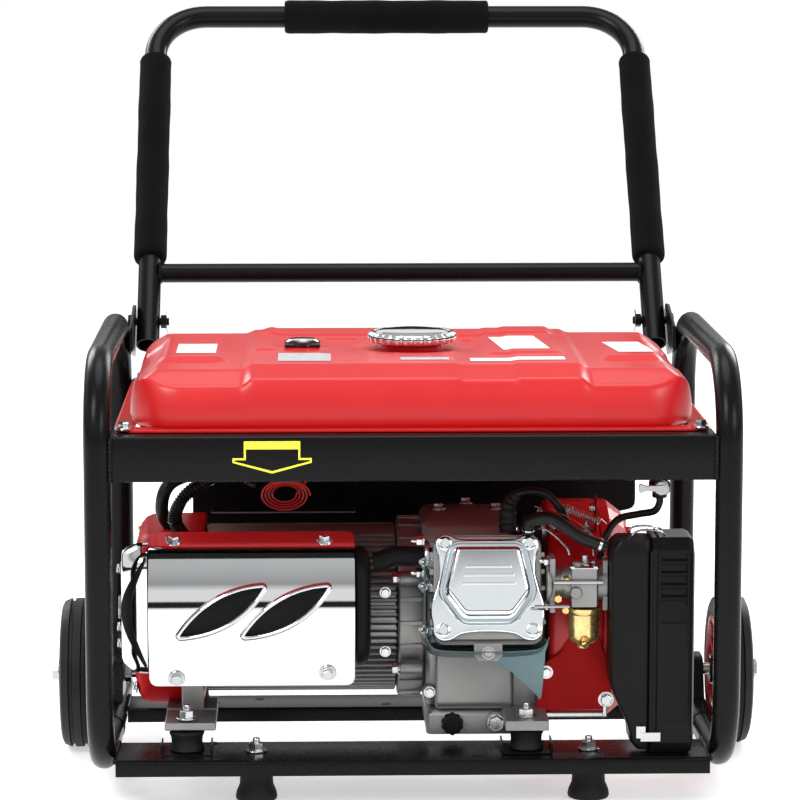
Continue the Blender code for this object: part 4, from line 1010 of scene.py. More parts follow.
def build_valve_cover():
    """Bright pressed cover: eared flange, rolled beads, steep six-sided dome and plain raised ribs."""
    matrix = CYL_MATRIX @ Matrix.Translation((COVER_X, 0, 0))
    half = list(COVER_EDGE)
    edge = half + [(-u, v) for u, v in reversed(half[:-1])] + [(-0.026, 0.0472), (0.0, 0.0468),
        (0.026, 0.0472)]
    edge = edge[::-1]
    bm = new()
    outline_rings(bm, closed_smooth(edge), ((0.1474, 0.0012), (0.148, 0.0002), (0.1498, 0.0),
        (0.1507, 0.0006), (0.151, 0.0018)), matrix)
    hexagon = [(0.0315, 0.0385), (0.041, -0.005), (0.023, -0.029), (-0.023, -0.029), (-0.041, -0.005),
        (-0.0315, 0.0385)]
    hexagon.reverse()
    dome = rounded_polygon(hexagon, 0.0058)
    outline_rings(bm, dome, ((0.15, -0.0066), (0.1524, -0.0064), (0.1534, -0.0054), (0.153, -0.004),
        (0.1522, -0.0034), (0.153, -0.0028), (0.1548, -0.0022), (0.164, 0.0006), (0.1672, 0.0014),
        (0.169, 0.0026), (0.1697, 0.0042), (0.17, 0.0062)), matrix)
    make("rocker_cover", bm, "cover", replaces=["valve_cover"], smooth=58)
    bm = new()
    for v, reach in ((0.018, 0.022), (0.01, 0.024), (0.002, 0.0255)):
        add_box(bm, (-reach, v - 0.0013, 0.1696), (reach, v + 0.0013, 0.1708), matrix)
    make("rocker_ribs", bm, "cover", bevel=0.0005)
    bm = new()
    axis = matrix.to_3x3() @ Vector((0, 0, 1))
    for u, v in ((-0.04, 0.0425), (0.04, 0.0425), (-0.0425, -0.04), (0.0425, -0.04)):
        add_lathe(bm, matrix @ Vector((u, v, 0.151)), axis, [(0.0064, 0.0), (0.0068, 0.0004),
            (0.0066, 0.0012), (0.0054, 0.0018)], 28)
        add_hex(bm, matrix @ Vector((u, v, 0.1524)), axis, 0.0086, 0.0036)
    make("rocker_bolts", bm, "cover", slot="zinc_bolts")
    bm = new()
    outline_rings(bm, closed_smooth([(u * 0.985, v * 0.985) for u, v in edge]),
        ((0.1462, 0.0), (0.1473, 0.0)), matrix)
    make("rocker_gasket", bm, "heat_black", slot="valve_cover_zinc")


def build_cylinder():
    """Cylinder with its cooling fins, cast head and the stud and nut of the exhaust port."""
    matrix = CYL_MATRIX
    bm = new()
    core = rounded_rect((0.03, -0.04), (0.114, 0.04), 0.012, 6)
    outline_rings(bm, core, ((0.1003, 0.0), (0.138, 0.0)), matrix)
    for i in range(6):
        along = 0.1035 + 0.0066 * i
        cut = 0.0015 * (i % 2)
        fin = rounded_rect((0.0195 + cut, -0.053), (0.124 - cut, 0.052), 0.01, 6)
        outline_rings(bm, fin, ((along, 0.0004), (along + 0.0006, 0.0), (along + 0.002, 0.0),
            (along + 0.0026, 0.0004)), matrix)
    make("cylinder_fins", bm, "cast", replaces=["cylinder"], smooth=40)
    bm = new()
    head = rounded_rect((0.02, -0.049), (0.123, 0.05), 0.012, 6)
    outline_rings(bm, head, ((0.14, 0.0006), (0.1408, 0.0), (0.1462, 0.0), (0.1473, 0.001)), matrix)
    for v in (-0.032, -0.016, 0.0, 0.016, 0.032):
        add_box(bm, (0.0165, v - 0.003, 0.13), (0.022, v + 0.003, 0.1466), matrix)
        add_box(bm, (0.121, v - 0.0022, 0.13), (0.1262, v + 0.0022, 0.1466), matrix)
    add_box(bm, (0.017, -0.05, 0.1315), (0.026, 0.046, 0.1345), matrix)
    make("cylinder_head", bm, "cast", bevel=0.0008)
    bm = new()
    for x, v, along in ((0.0175, -0.039, 0.144), (0.0185, 0.025, 0.144), (0.0175, 0.002, 0.144)):
        spot = matrix @ Vector((x - 0.003, v, along - 0.003))
        add_hex(bm, spot, matrix.to_3x3() @ Vector((-0.55, 0, 0.83)), 0.009, 0.006, washer=0.007, stud=0.006)
    make("head_studs", bm, "zinc")


def build_heat_plate():
    """Blued sheet that wraps below and left of the rocker cover, with its bolt tab."""
    matrix = CYL_MATRIX
    bm = new()
    thick = 0.001
    path = [(0.013, 0.03), (0.0125, -0.03), (0.014, -0.048), (0.021, -0.0575), (0.04, -0.06),
        (0.0715, -0.0605), (0.102, -0.06), (0.1215, -0.057), (0.129, -0.047)]
    fine = [(p.x, p.y) for p in smooth_path([(u, v, 0) for u, v in path], 6)]
    rings = []
    for j, (u, v) in enumerate(fine):
        before, after = fine[max(j - 1, 0)], fine[min(j + 1, len(fine) - 1)]
        along = Vector((after[0] - before[0], after[1] - before[1])).normalized()
        n = Vector((along.y, -along.x)) * thick
        share = j / (len(fine) - 1)
        low = 0.1 + 0.012 * smoothstep(0.75, 1.0, share)
        high = 0.15 + 0.004 * math.sin(math.pi * share)
        rings.append([bm.verts.new(matrix @ Vector((u, v, low))), bm.verts.new(matrix @ Vector((u, v, high))),
            bm.verts.new(matrix @ Vector((u + n.x, v + n.y, high))),
            bm.verts.new(matrix @ Vector((u + n.x, v + n.y, low)))])
    rings_to_faces(bm, rings)
    make("heat_plate", bm, "plate", smooth=40)
    bm = new()
    tab = [(0.058, -0.052), (0.085, -0.052), (0.085, -0.064), (0.08, -0.069), (0.063, -0.069),
        (0.058, -0.064)]
    outline_rings(bm, tab, ((0.144, 0.0), (0.1462, 0.0)), matrix)
    make("heat_plate_tab", bm, "cast", bevel=0.0006)
    bm = new()
    axis = matrix.to_3x3() @ Vector((0, 0, 1))
    add_hex(bm, matrix @ Vector((COVER_X, -0.0615, 0.1463)), axis, 0.0085, 0.005, washer=0.0068)
    make("heat_plate_bolt", bm, "zinc")


HEAT_SKIRT = ((0.016, 0.156), (0.056, 0.151), (0.09, 0.149), (0.128, 0.148), (0.128, 0.134), (0.127, 0.119),
    (0.124, 0.09), (0.118, 0.095), (0.106, 0.106), (0.09, 0.119), (0.056, 0.13), (0.028, 0.136),
    (0.015, 0.142))


def build_heat_skirt():
    """Blued sheet that hangs in front of the crankcase below the cylinder, lowest at the fan side."""
    bm = new()
    edge = closed_smooth(HEAT_SKIRT, 6)
    rings = [[bm.verts.new((x, y + 0.0012 * math.sin(x * 40), z)) for x, z in edge]
        for y in (MID_Y - 0.1188, MID_Y - 0.1178)]
    rings_to_faces(bm, rings)
    make("heat_skirt", bm, "plate", smooth=30)


def build_crankcase():
    """Smooth grey casting with a soft vertical step, side cover seam, feet and drain plug boss."""
    bm = new()
    main = [(-0.08, 0.072), (0.08, 0.072), (0.088, 0.09), (0.088, 0.15), (0.062, 0.213), (0.05, 0.222),
        (-0.045, 0.226), (-0.066, 0.214), (-0.082, 0.19), (-0.086, 0.15), (-0.086, 0.085)]
    add_prism(bm, [(MID_Y + y, z) for y, z in main], "YZ", 0.015, 0.132)
    make("crankcase_body", bm, "cast", replaces=["crankcase"], bevel=0.007, segments=4)
    bm = new()
    block = [(-0.099, 0.0745), (-0.079, 0.0735), (-0.079, 0.196), (-0.101, 0.15), (-0.104, 0.14),
        (-0.104, 0.08)]
    add_prism(bm, [(MID_Y + y, z) for y, z in block], "YZ", 0.024, 0.098)
    make("crankcase_front", bm, "cast", bevel=0.0055, segments=4)
    bm = new()
    block = [(-0.096, 0.0735), (-0.078, 0.0735), (-0.078, 0.19), (-0.098, 0.14)]
    add_prism(bm, [(MID_Y + y, z) for y, z in block], "YZ", 0.096, 0.124)
    make("crankcase_step", bm, "cast", bevel=0.004, segments=3)
    bm = new()
    loop = rounded_rect((0.015, MID_Y - 0.0985), (0.105, MID_Y + 0.03), 0.006, 5)
    rings = [[bm.verts.new((x + (inset if x < 0.06 else -inset), y + (inset if y < MID_Y - 0.03 else -inset),
        z)) for x, y in loop] for z, inset in ((0.0497, 0.001), (0.0506, 0.0), (0.068, 0.0), (0.07, 0.0006),
        (0.0735, 0.004))]
    rings_to_faces(bm, rings)
    add_box(bm, (0.088, MID_Y - 0.164, 0.0684), (0.129, MID_Y - 0.06, 0.078))
    add_box(bm, (0.088, MID_Y + 0.02, 0.0684), (0.129, MID_Y + 0.092, 0.078))
    make("crankcase_base", bm, "cast", bevel=0.0012)
    bm = new()
    for x, z in ((0.0185, 0.205), (0.0185, 0.14), (0.0185, 0.09), (0.124, 0.09)):
        add_lathe(bm, at(x, -0.083 if z > 0.1 else -0.084, z), "-Y",
            [(0.0072, 0.0), (0.0066, 0.006), (0.0055, 0.0072)], 24)
    add_lathe(bm, at(0.082, -0.0975, 0.062), "-Y", [(0.0105, 0.0), (0.01, 0.002), (0.007, 0.0024)], 28)
    make("crankcase_bosses", bm, "cast")
    bm = new()
    for x, z in ((0.0185, 0.205), (0.0185, 0.14), (0.0185, 0.09), (0.124, 0.09)):
        add_hex(bm, at(x, -0.09, z), "-Y", 0.008, 0.0046, washer=0.0058)
    add_hex(bm, at(0.082, -0.0999, 0.062), "-Y", 0.013, 0.0055, washer=0.0085)
    make("crankcase_bolts", bm, "zinc")
    bm = new()
    low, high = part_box("dipstick")
    cx, cz = (low.x + high.x) / 2, (low.z + high.z) / 2
    sides = 60
    rings = []
    for radius, depth, wave in ((0.009, 0.0, 0), (0.009, 0.0016, 0), (0.0108, 0.002, 1), (0.0108, 0.0078, 1),
            (0.01, 0.009, 0.6), (0.007, 0.0096, 0), (0.0066, 0.0086, 0), (0.0004, 0.0086, 0)):
        ring = []
        for angle in around(sides):
            r = radius - wave * 0.0009 * (math.cos(angle * 10) > 0.3)
            ring.append(bm.verts.new((cx + r * math.cos(angle), MID_Y - 0.0988 - depth,
                cz + r * math.sin(angle))))
        rings.append(ring)
    rings_to_faces(bm, rings)
    add_lathe(bm, Vector((cx, MID_Y - 0.0984, cz)), "Y", [(0.0058, -0.0004), (0.0058, 0.0001)], 24)
    make("oil_plug", bm, "plastic", "dipstick", "black_plastic", ["dipstick"])


def build_alternator():
    """Stator with its cooling ribs, feet and through bolts, then the bell and the end hood."""
    bm = new()
    ribs, points_a_rib = 72, 6
    root_r, bore_r, rib_height, flat_height = 0.0788, 0.064, 0.005, 0.002
    angles = around(ribs * points_a_rib)

    def section(x, radii):
        """Ring of vertices round the crank's axis."""
        return [bm.verts.new((x, MID_Y + r * math.cos(a), CRANK_Z + r * math.sin(a))) for r,
            a in zip(radii, angles)]

    rings = []
    for x, scale in ((-0.1985, 0.0), (-0.1965, 1.0), (-0.014, 1.0), (-0.0125, 0.0)):
        radii = []
        for j, angle in enumerate(angles):
            tooth = rib_height if 0.17 < (j % points_a_rib) / points_a_rib < 0.67 else 0.0
            if abs(math.sin(angle)) > 0.93:
                tooth = flat_height
            radii.append(root_r + tooth * scale)
        rings.append(section(x, radii))
    rings_to_faces(bm, rings, caps=False)
    inner = [section(x, [bore_r] * len(angles)) for x in (-0.0125, -0.1985)]
    rings_to_faces(bm, [rings[-1], inner[0]], caps=False)
    rings_to_faces(bm, inner, caps=False)
    rings_to_faces(bm, [inner[1], rings[0]], caps=False)
    make("stator_ribs", bm, "cast", replaces=["stator_housing"], smooth=30)
    bm = new()
    for y_low, y_high in ((-0.1, -0.055), (0.055, 0.1)):
        add_box(bm, (-0.2345, MID_Y + y_low, 0.0684), (-0.186, MID_Y + y_high, 0.078))
        add_box(bm, (-0.22, MID_Y + (y_low if y_low < 0 else y_high - 0.01), 0.076),
            (-0.199, MID_Y + (y_low + 0.01 if y_low < 0 else y_high), 0.1))
    add_box(bm, (-0.2345, MID_Y - 0.155, 0.0684), (-0.186, MID_Y - 0.098, 0.076))
    make("stator_feet", bm, "cast", bevel=0.0014)
    bm = new()
    for x in (-0.186, -0.024):
        for z in (0.128, 0.186):
            radius = 0.084
            depth = -math.sqrt(max(0.0, radius ** 2 - (z - CRANK_Z) ** 2))
            add_hex(bm, at(x, depth - 0.0006, z), "-Y", 0.0075, 0.0042, washer=0.0056)
    make("stator_bolts", bm, "zinc")
    bell()


def bell():
    """Cast bell between engine and alternator."""
    bm = new()
    profile = [(0.05, -0.0116), (0.085, -0.0116), (0.0876, -0.01), (0.0882, -0.006), (0.0872, 0.006),
        (0.0862, 0.012), (0.084, 0.0144), (0.05, 0.0146)]
    add_lathe(bm, Vector((0, MID_Y, CRANK_Z)), "X", profile, 96, closed=True)
    for angle in around(24):
        turn = spun((0, MID_Y, CRANK_Z), angle)
        add_box(bm, (-0.01, -0.0022, 0.085), (0.012, 0.0022, 0.0893), turn)
    make("bell_casting", bm, "cast", replaces=["end_bell"], bevel=0.0006)
    bm = new()
    for y, z in ((-0.086, 0.201), (-0.088, 0.113), (0.086, 0.201), (0.088, 0.113)):
        add_lathe(bm, at(-0.01, y, z), "X", [(0.007, 0.0), (0.0074, 0.001), (0.0074, 0.02), (0.0066, 0.0215)],
            24)
    make("bell_lugs", bm, "cast")
    bolts("bell_bolts", [at(-0.0102, y, z) for y, z in ((-0.086, 0.201), (-0.088, 0.113))], (-1, 0, 0),
        0.0092, 0.006, washer=0.0062)
    end_hood()


def end_hood():
    """Pressed red cover over the brushes: rounded square, louvred rim, bolts and a blank back."""
    bm = new()
    rings = []
    for x, half, corner in ((-0.1995, 0.0835, 0.03), (-0.201, 0.0845, 0.03), (-0.252, 0.0838, 0.032),
            (-0.259, 0.0815, 0.034), (-0.2635, 0.0765, 0.036), (-0.2655, 0.069, 0.036),
            (-0.2655, 0.03, 0.016), (-0.264, 0.028, 0.014)):
        loop = rounded_rect((-half, -half), (half, half), corner, 10)
        rings.append([bm.verts.new((x, MID_Y + u, CRANK_Z + v)) for u, v in loop])
    rings_to_faces(bm, rings)
    make("end_hood", bm, "dark_red", replaces=["end_cover"], smooth=40)
    bm = new()
    for u in (-0.05, -0.03, -0.01, 0.01, 0.03, 0.05):
        for v in (-1, 1):
            add_box(bm, (-0.2662, MID_Y + u - 0.0035, CRANK_Z + v * 0.058 - 0.01),
                (-0.265, MID_Y + u + 0.0035, CRANK_Z + v * 0.058 + 0.01))
    make("end_hood_slots", bm, "heat_black", slot="red_plastic", bevel=0.0005)
    bolts("end_hood_bolts", [Vector((-0.264, MID_Y + u * 0.93, CRANK_Z + v * 0.93)) for u,
        v in ((-0.07, 0.07), (0.07, 0.07), (-0.07, -0.07), (0.07, -0.07))], (-1, 0, 0), 0.008, 0.003,
        washer=0.007)


# ---------------------------------------------------------------- carburettor, air filter and starter side
def wire(name, points, radius, mat, body="frame", slot="steel", sides=10, steps=8, free=False):
    path = smooth_path([at(*p) for p in points], steps)
    bm = new()
    add_tube(bm, path, radius, sides)
    obj = make(name, bm, mat, body, slot)
    if free:
        free_hose(obj, path)
    return obj


def coil_spring(name, start, end, radius, wire_r, turns):
    """Closely wound spring with straight ends."""
    start, end = at(*start), at(*end)
    axis = (end - start)
    side = axis.orthogonal().normalized()
    other = axis.normalized().cross(side)
    path = [start]
    steps = turns * 10
    for i in range(steps + 1):
        t = i / steps
        angle = 2 * math.pi * turns * t
        path.append(start + axis * (0.15 + 0.7 * t) + (side * math.cos(angle)
            + other * math.sin(angle)) * radius)
    path.append(end)
    bm = new()
    add_tube(bm, path, wire_r, 8)
    make(name, bm, "steel", slot="steel")


def build_carburettor():
    """Cast carburettor with its flange, top plate, jets, gold bowl and linkage."""
    y, z = -0.136, 0.205
    bm = new()
    add_lathe(bm, at(0.1274, y, z), "X", [(0.0175, 0.0), (0.0182, 0.001), (0.0182, 0.004), (0.0135, 0.006),
        (0.013, 0.014), (0.015, 0.018), (0.015, 0.042), (0.014, 0.044), (0.0165, 0.048), (0.0168, 0.057),
        (0.0158, 0.058)], 48)
    add_box(bm, (0.1302, MID_Y + y - 0.0135, z - 0.026), (0.1352, MID_Y + y + 0.0135, z + 0.026))
    add_box(bm, (0.18, MID_Y + y - 0.0125, z - 0.024), (0.185, MID_Y + y + 0.0125, z + 0.024))
    add_box(bm, (0.15, MID_Y - 0.1585, 0.186), (0.174, MID_Y - 0.13, 0.2225))
    add_lathe(bm, at(0.156, -0.15, 0.219), "Z", [(0.0052, 0.0), (0.0052, 0.008), (0.0044, 0.009)], 20)
    add_lathe(bm, at(0.154, -0.1575, 0.2), "-Y", [(0.006, 0.0), (0.0056, 0.004), (0.0044, 0.0048)], 20)
    make("carb_body", bm, "cast", replaces=["carburettor"], bevel=0.0012)
    bm = new()
    top = [(0.149, -0.159), (0.175, -0.159), (0.175, -0.127), (0.149, -0.127)]
    add_prism(bm, [(x, MID_Y + yy) for x, yy in top], "XY", 0.2224, 0.224)
    make("carb_plate", bm, "zinc", slot="cast_aluminium", bevel=0.0005)
    bm = new()
    for x, yy in ((0.151, -0.157), (0.173, -0.157), (0.173, -0.129)):
        add_lathe(bm, at(x, yy, 0.224), "Z", [(0.0032, 0.0), (0.0032, 0.0012), (0.0024, 0.002)], 20)
    for dz in (-0.0215, 0.0215):
        add_hex(bm, at(0.13, y - 0.0005, z + dz), (-1, 0, 0), 0.009, 0.005, stud=0.004)
    make("carb_screws", bm, "zinc")
    bm = new()
    add_lathe(bm, at(0.1445, -0.149, 0.183), "-Y", [(0.0036, 0.0), (0.0036, 0.01), (0.0028, 0.0108)], 20)
    add_lathe(bm, at(0.1455, -0.147, 0.212), "-Y", [(0.003, 0.0), (0.003, 0.012), (0.0022, 0.0128)], 20)
    add_hex(bm, at(0.1375, -0.15, 0.1935), "-Y", 0.007, 0.006)
    make("carb_jets", bm, "brass")
    bm = new()
    add_lathe(bm, at(0.163, -0.1405, 0.1437), "Z", [(0.0042, -0.0002), (0.0058, 0.0004), (0.0062, 0.003),
        (0.0068, 0.0036), (0.0098, 0.005), (0.0128, 0.0078), (0.0142, 0.011), (0.0146, 0.014),
        (0.0146, 0.033), (0.0158, 0.0345), (0.0162, 0.037), (0.0162, 0.0392), (0.015, 0.0398)], 56)
    make("carb_bowl", bm, "gold", replaces=["float_bowl"])
    bm = new()
    add_hex(bm, at(0.163, -0.1552, 0.153), Vector((0, -0.8, -0.6)), 0.007, 0.0045, washer=0.0055)
    make("bowl_drain", bm, "brass")
    bm = new()
    add_tube(bm, [at(0.133, -0.1605, 0.2105), at(0.179, -0.1605, 0.2105)], 0.0022, 16)
    add_tube(bm, [at(0.115, -0.159, 0.187), at(0.148, -0.159, 0.187)], 0.0016, 12)
    make("carb_rods", bm, "steel")
    low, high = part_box("choke_lever")
    cx, cy = 0.163, MID_Y - 0.15
    bm = new()
    add_lathe(bm, Vector((cx, cy, low.z)), "Z", [(0.0046, 0.0), (0.0046, 0.0016), (0.003, 0.002),
        (0.003, high.z - low.z)], 24)
    reach = [(cx - 0.003, cy + 0.002), (cx - 0.003, cy - 0.006), (low.x + 0.002, low.y + 0.004),
        (low.x + 0.006, low.y + 0.0005), (cx + 0.003, cy - 0.006), (cx + 0.003, cy + 0.002)]
    add_prism(bm, reach, "XY", low.z + 0.0018, low.z + 0.0032)
    make("choke_arm", bm, "steel", "choke_lever", "steel", ["choke_lever"], bevel=0.0003)


def build_linkage():
    """Governor rods, return springs and the sheet brackets that hold them above the shroud."""
    wire("governor_rod", ((0.106, -0.112, 0.248), (0.126, -0.129, 0.256), (0.145, -0.138, 0.241),
        (0.149, -0.142, 0.233)), 0.001, "zinc")
    wire("throttle_rod", ((0.133, -0.093, 0.27), (0.15, -0.113, 0.264), (0.17, -0.131, 0.252),
        (0.172, -0.136, 0.231)), 0.0009, "zinc")
    coil_spring("governor_spring", (0.142, -0.102, 0.274), (0.186, -0.116, 0.258), 0.0032, 0.0007, 14)
    coil_spring("return_spring", (0.118, -0.106, 0.274), (0.14, -0.12, 0.252), 0.0028, 0.0007, 9)
    bm = new()
    add_box(bm, (0.134, MID_Y - 0.114, 0.248), (0.178, MID_Y - 0.078, 0.2494))
    add_box(bm, (0.134, MID_Y - 0.114, 0.2494), (0.1354, MID_Y - 0.078, 0.264))
    add_box(bm, (0.1764, MID_Y - 0.114, 0.2494), (0.1778, MID_Y - 0.09, 0.282))
    make("control_bracket", bm, "dark_red", bevel=0.0006)
    bm = new()
    for x, y in ((0.146, -0.106), (0.168, -0.104)):
        add_hex(bm, at(x, y, 0.2495), "Z", 0.008, 0.0048, washer=0.0064, stud=0.003)
    add_hex(bm, at(0.1762, -0.102, 0.272), (-1, 0, 0), 0.0075, 0.0042, washer=0.0058)
    make("control_bolts", bm, "zinc")


def build_shroud():
    """Red fan shroud with its flat front plate, bolts and side lattice."""
    low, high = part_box("blower_housing")
    cz = (low.z + high.z) / 2
    bm = new()
    add_lathe(bm, Vector((0, MID_Y, cz)), "X", [(0.06, 0.133), (0.101, 0.133), (0.105, 0.1345),
        (0.1068, 0.1375), (0.107, 0.142), (0.107, 0.18), (0.1062, 0.184), (0.1045, 0.185), (0.1, 0.185),
        (0.1, 0.14), (0.06, 0.14)], 120, closed=True)
    make("shroud", bm, "red", slot="red_plastic", replaces=["blower_housing"], smooth=40)
    bm = new()
    plate = rounded_polygon([(0.191, 0.076), (0.193, 0.106), (0.179, 0.152), (0.151, 0.146), (0.143, 0.131),
        (0.13, 0.123), (0.124, 0.112), (0.12, 0.075)], 0.0035)
    add_prism(bm, plate, "XZ", MID_Y - 0.1085, MID_Y - 0.107)
    make("shroud_plate", bm, "dark_red", bevel=0.0012, segments=3)
    bm = new()
    add_hex(bm, at(0.1874, -0.1086, 0.086), "-Y", 0.0095, 0.006, washer=0.0078)
    add_hex(bm, at(0.13, -0.1086, 0.113), "-Y", 0.008, 0.0046, washer=0.0066)
    make("shroud_bolts", bm, "zinc")
    bm = new()
    add_box(bm, (0.129, MID_Y - 0.112, 0.069), (0.188, MID_Y - 0.1, 0.0738))
    add_box(bm, (0.184, MID_Y - 0.113, 0.069), (0.1885, MID_Y - 0.103, 0.09))
    make("shroud_rail", bm, "zinc", bevel=0.0012, segments=3)
    low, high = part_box("recoil_cover")
    bm = new()
    add_lathe(bm, Vector((0, MID_Y, cz)), "X", [(0.04, 0.1856), (0.098, 0.1856), (0.1, 0.1866),
        (0.1004, 0.19), (0.099, 0.2), (0.094, 0.208), (0.086, 0.214), (0.06, 0.2165), (0.04, 0.217),
        (0.036, 0.215), (0.004, 0.2145)], 120)
    for i in range(10):
        turn = spun((0, MID_Y, cz), 2 * math.pi * (i + 0.5) / 10)
        add_box(bm, (0.21, -0.0022, 0.042), (0.2178, 0.0022, 0.088), turn)
    make("recoil_shell", bm, "red", slot="red_plastic", smooth=40)
    bm = new()
    for i in range(10):
        turn = spun((0, MID_Y, cz), 2 * math.pi * i / 10)
        add_box(bm, (0.2164, -0.006, 0.048), (0.2172, 0.006, 0.056), turn)
        add_box(bm, (0.215, -0.008, 0.062), (0.2162, 0.008, 0.076), turn)
    make("recoil_slots", bm, "heat_black", slot="red_plastic", bevel=0.0004)


def build_filter():
    """Air filter box: curved tapering base, moulded seam, chamfered cover with louvres, clip and latch."""
    base_low, base_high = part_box("filter_base")
    low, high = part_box("filter_cover")
    bm = new()
    rings = []
    levels = [base_low.z + (base_high.z - base_low.z) * i / 26 for i in range(27)]
    for i, z in enumerate(levels):
        rim = min(z - base_low.z, base_high.z - z)
        soft = 0.006 * (1 - smoothstep(0.0, 0.008, rim))
        curve = 0.019 * (1 - smoothstep(0.062, 0.12, z))
        x0, x1 = base_low.x + soft + curve, base_high.x
        loop = rounded_rect((x0, base_low.y + soft * 0.5), (x1, base_high.y - soft), 0.006, 5)
        rings.append([bm.verts.new((x, y, z)) for x, y in loop])
    rings_to_faces(bm, rings)
    make("filter_body", bm, "plastic", replaces=["filter_base"], smooth=45)
    bm = new()
    rings = []
    for dx, grow in ((0.0002, 0.0), (0.001, 0.0004), (0.034, 0.0), (0.0385, 0.0022), (0.0402, 0.0062),
            (0.0407, 0.012)):
        x = low.x + dx
        y0, y1 = low.y + grow, high.y - grow
        z0, z1 = low.z + grow, high.z - grow
        chamfer = 0.011
        loop = [(y0, z0 + chamfer), (y0 + chamfer * 0.6, z0), (y1 - 0.003, z0), (y1, z0 + 0.004),
            (y1, z1 - 0.004), (y1 - 0.003, z1), (y0 + chamfer * 0.8, z1), (y0, z1 - chamfer)]
        rings.append([bm.verts.new((x, y, z)) for y, z in loop])
    rings_to_faces(bm, rings)
    make("filter_lid", bm, "plastic", replaces=["filter_cover"], bevel=0.0012, segments=3)
    bm = new()
    for x0, x1, proud in ((low.x - 0.0022, low.x + 0.0004, 0.0006), (low.x + 0.005, low.x + 0.0072, 0.0008)):
        add_box(bm, (x0, low.y - proud, low.z + 0.012), (x1, low.y + 0.002, high.z - 0.012))
        add_box(bm, (x0, low.y + 0.012, high.z - 0.002), (x1, high.y - 0.004, high.z + proud))
    make("filter_seam", bm, "plastic", bevel=0.0004)
    # Flat boxes behind the slats in a darker heatproof black: painted shade in the louvre gaps
    bm = new()
    for i in range(4):
        z = 0.195 + 0.0115 * i
        add_box(bm, (low.x + 0.0095, low.y - 0.0001, z), (low.x + 0.0315, low.y + 0.0003, z + 0.004))
    make("filter_louvre_shade", bm, "heat_black", slot="black_plastic", bevel=0.0002)
    bm = new()
    for i in range(4):
        z = 0.195 + 0.0115 * i
        matrix = spun((low.x + 0.0205, low.y + 0.0003, z + 0.0052), math.radians(32))
        add_box(bm, (-0.0125, -0.0034, -0.0011), (0.0125, 0.0012, 0.0011), matrix)
    for x0 in (low.x + 0.007, low.x + 0.0325):
        add_box(bm, (x0, low.y - 0.0016, 0.1915), (x0 + 0.0014, low.y + 0.0006, 0.24))
    make("filter_slats", bm, "plastic", bevel=0.0004)
    bm = new()
    add_box(bm, (low.x + 0.006, low.y - 0.0008, 0.08), (low.x + 0.034, low.y + 0.001, 0.175))
    make("filter_panel", bm, "plastic", bevel=0.0009, segments=3)
    top = base_high.z
    wire("filter_clip", ((0.208, -0.162, top - 0.004), (0.206, -0.165, top + 0.004),
        (0.212, -0.166, top + 0.0085), (0.223, -0.166, top + 0.009), (0.233, -0.165, top + 0.007),
        (0.237, -0.163, top + 0.0038)), 0.0011, "zinc")
    wire("filter_clip_back", ((0.208, -0.135, top - 0.004), (0.206, -0.136, top + 0.004),
        (0.212, -0.136, top + 0.0075), (0.223, -0.136, top + 0.008), (0.233, -0.135, top + 0.006),
        (0.237, -0.134, top + 0.0038)), 0.0011, "zinc")
    bm = new()
    add_box(bm, (0.21, low.y - 0.0016, 0.064), (0.219, low.y + 0.003, 0.076))
    add_box(bm, (0.214, low.y - 0.0018, 0.061), (0.233, low.y - 0.0004, 0.07))
    make("filter_latch", bm, "zinc", bevel=0.0006)


def build_starter_grip():
    """Moulded T-grip with its rope end."""
    low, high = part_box("starter_grip")
    cx, cz = 0.202, 0.202
    bm = new()
    add_tube(bm, [Vector((cx, low.y, cz)), Vector((cx, high.y - 0.012, cz))], 0.0024, 14)
    make("starter_rope", bm, "rubber", "starter_grip", "black_plastic", smooth=60)
    bm = new()
    y = high.y - 0.0105
    half = (0.232 - 0.172) / 2
    shape = []
    for i in range(25):
        t = -1 + 2 * i / 24
        r = 0.0092 + 0.001 * math.cos(t * math.pi * 3) - 0.006 * max(0.0, abs(t) - 0.86) / 0.14
        shape.append((max(0.0012, r), half * t * 0.995))
    add_lathe(bm, Vector((cx, y, cz)), "X", shape, 36)
    add_lathe(bm, Vector((cx, y - 0.01, cz)), "Y", [(0.0042, -0.0004), (0.006, 0.006), (0.008, 0.01)], 28)
    make("starter_handle", bm, "plastic", "starter_grip", "black_plastic", ["starter_grip"], smooth=50)


# ---------------------------------------------------------------- leads and hoses
def free_hose(piece, path):
    """Measure the length of a lead or hose that spans between two places on the machine; the result is not kept."""
    length = sum((b - a).length for a, b in zip(path, path[1:]))
    tuple(path[0])


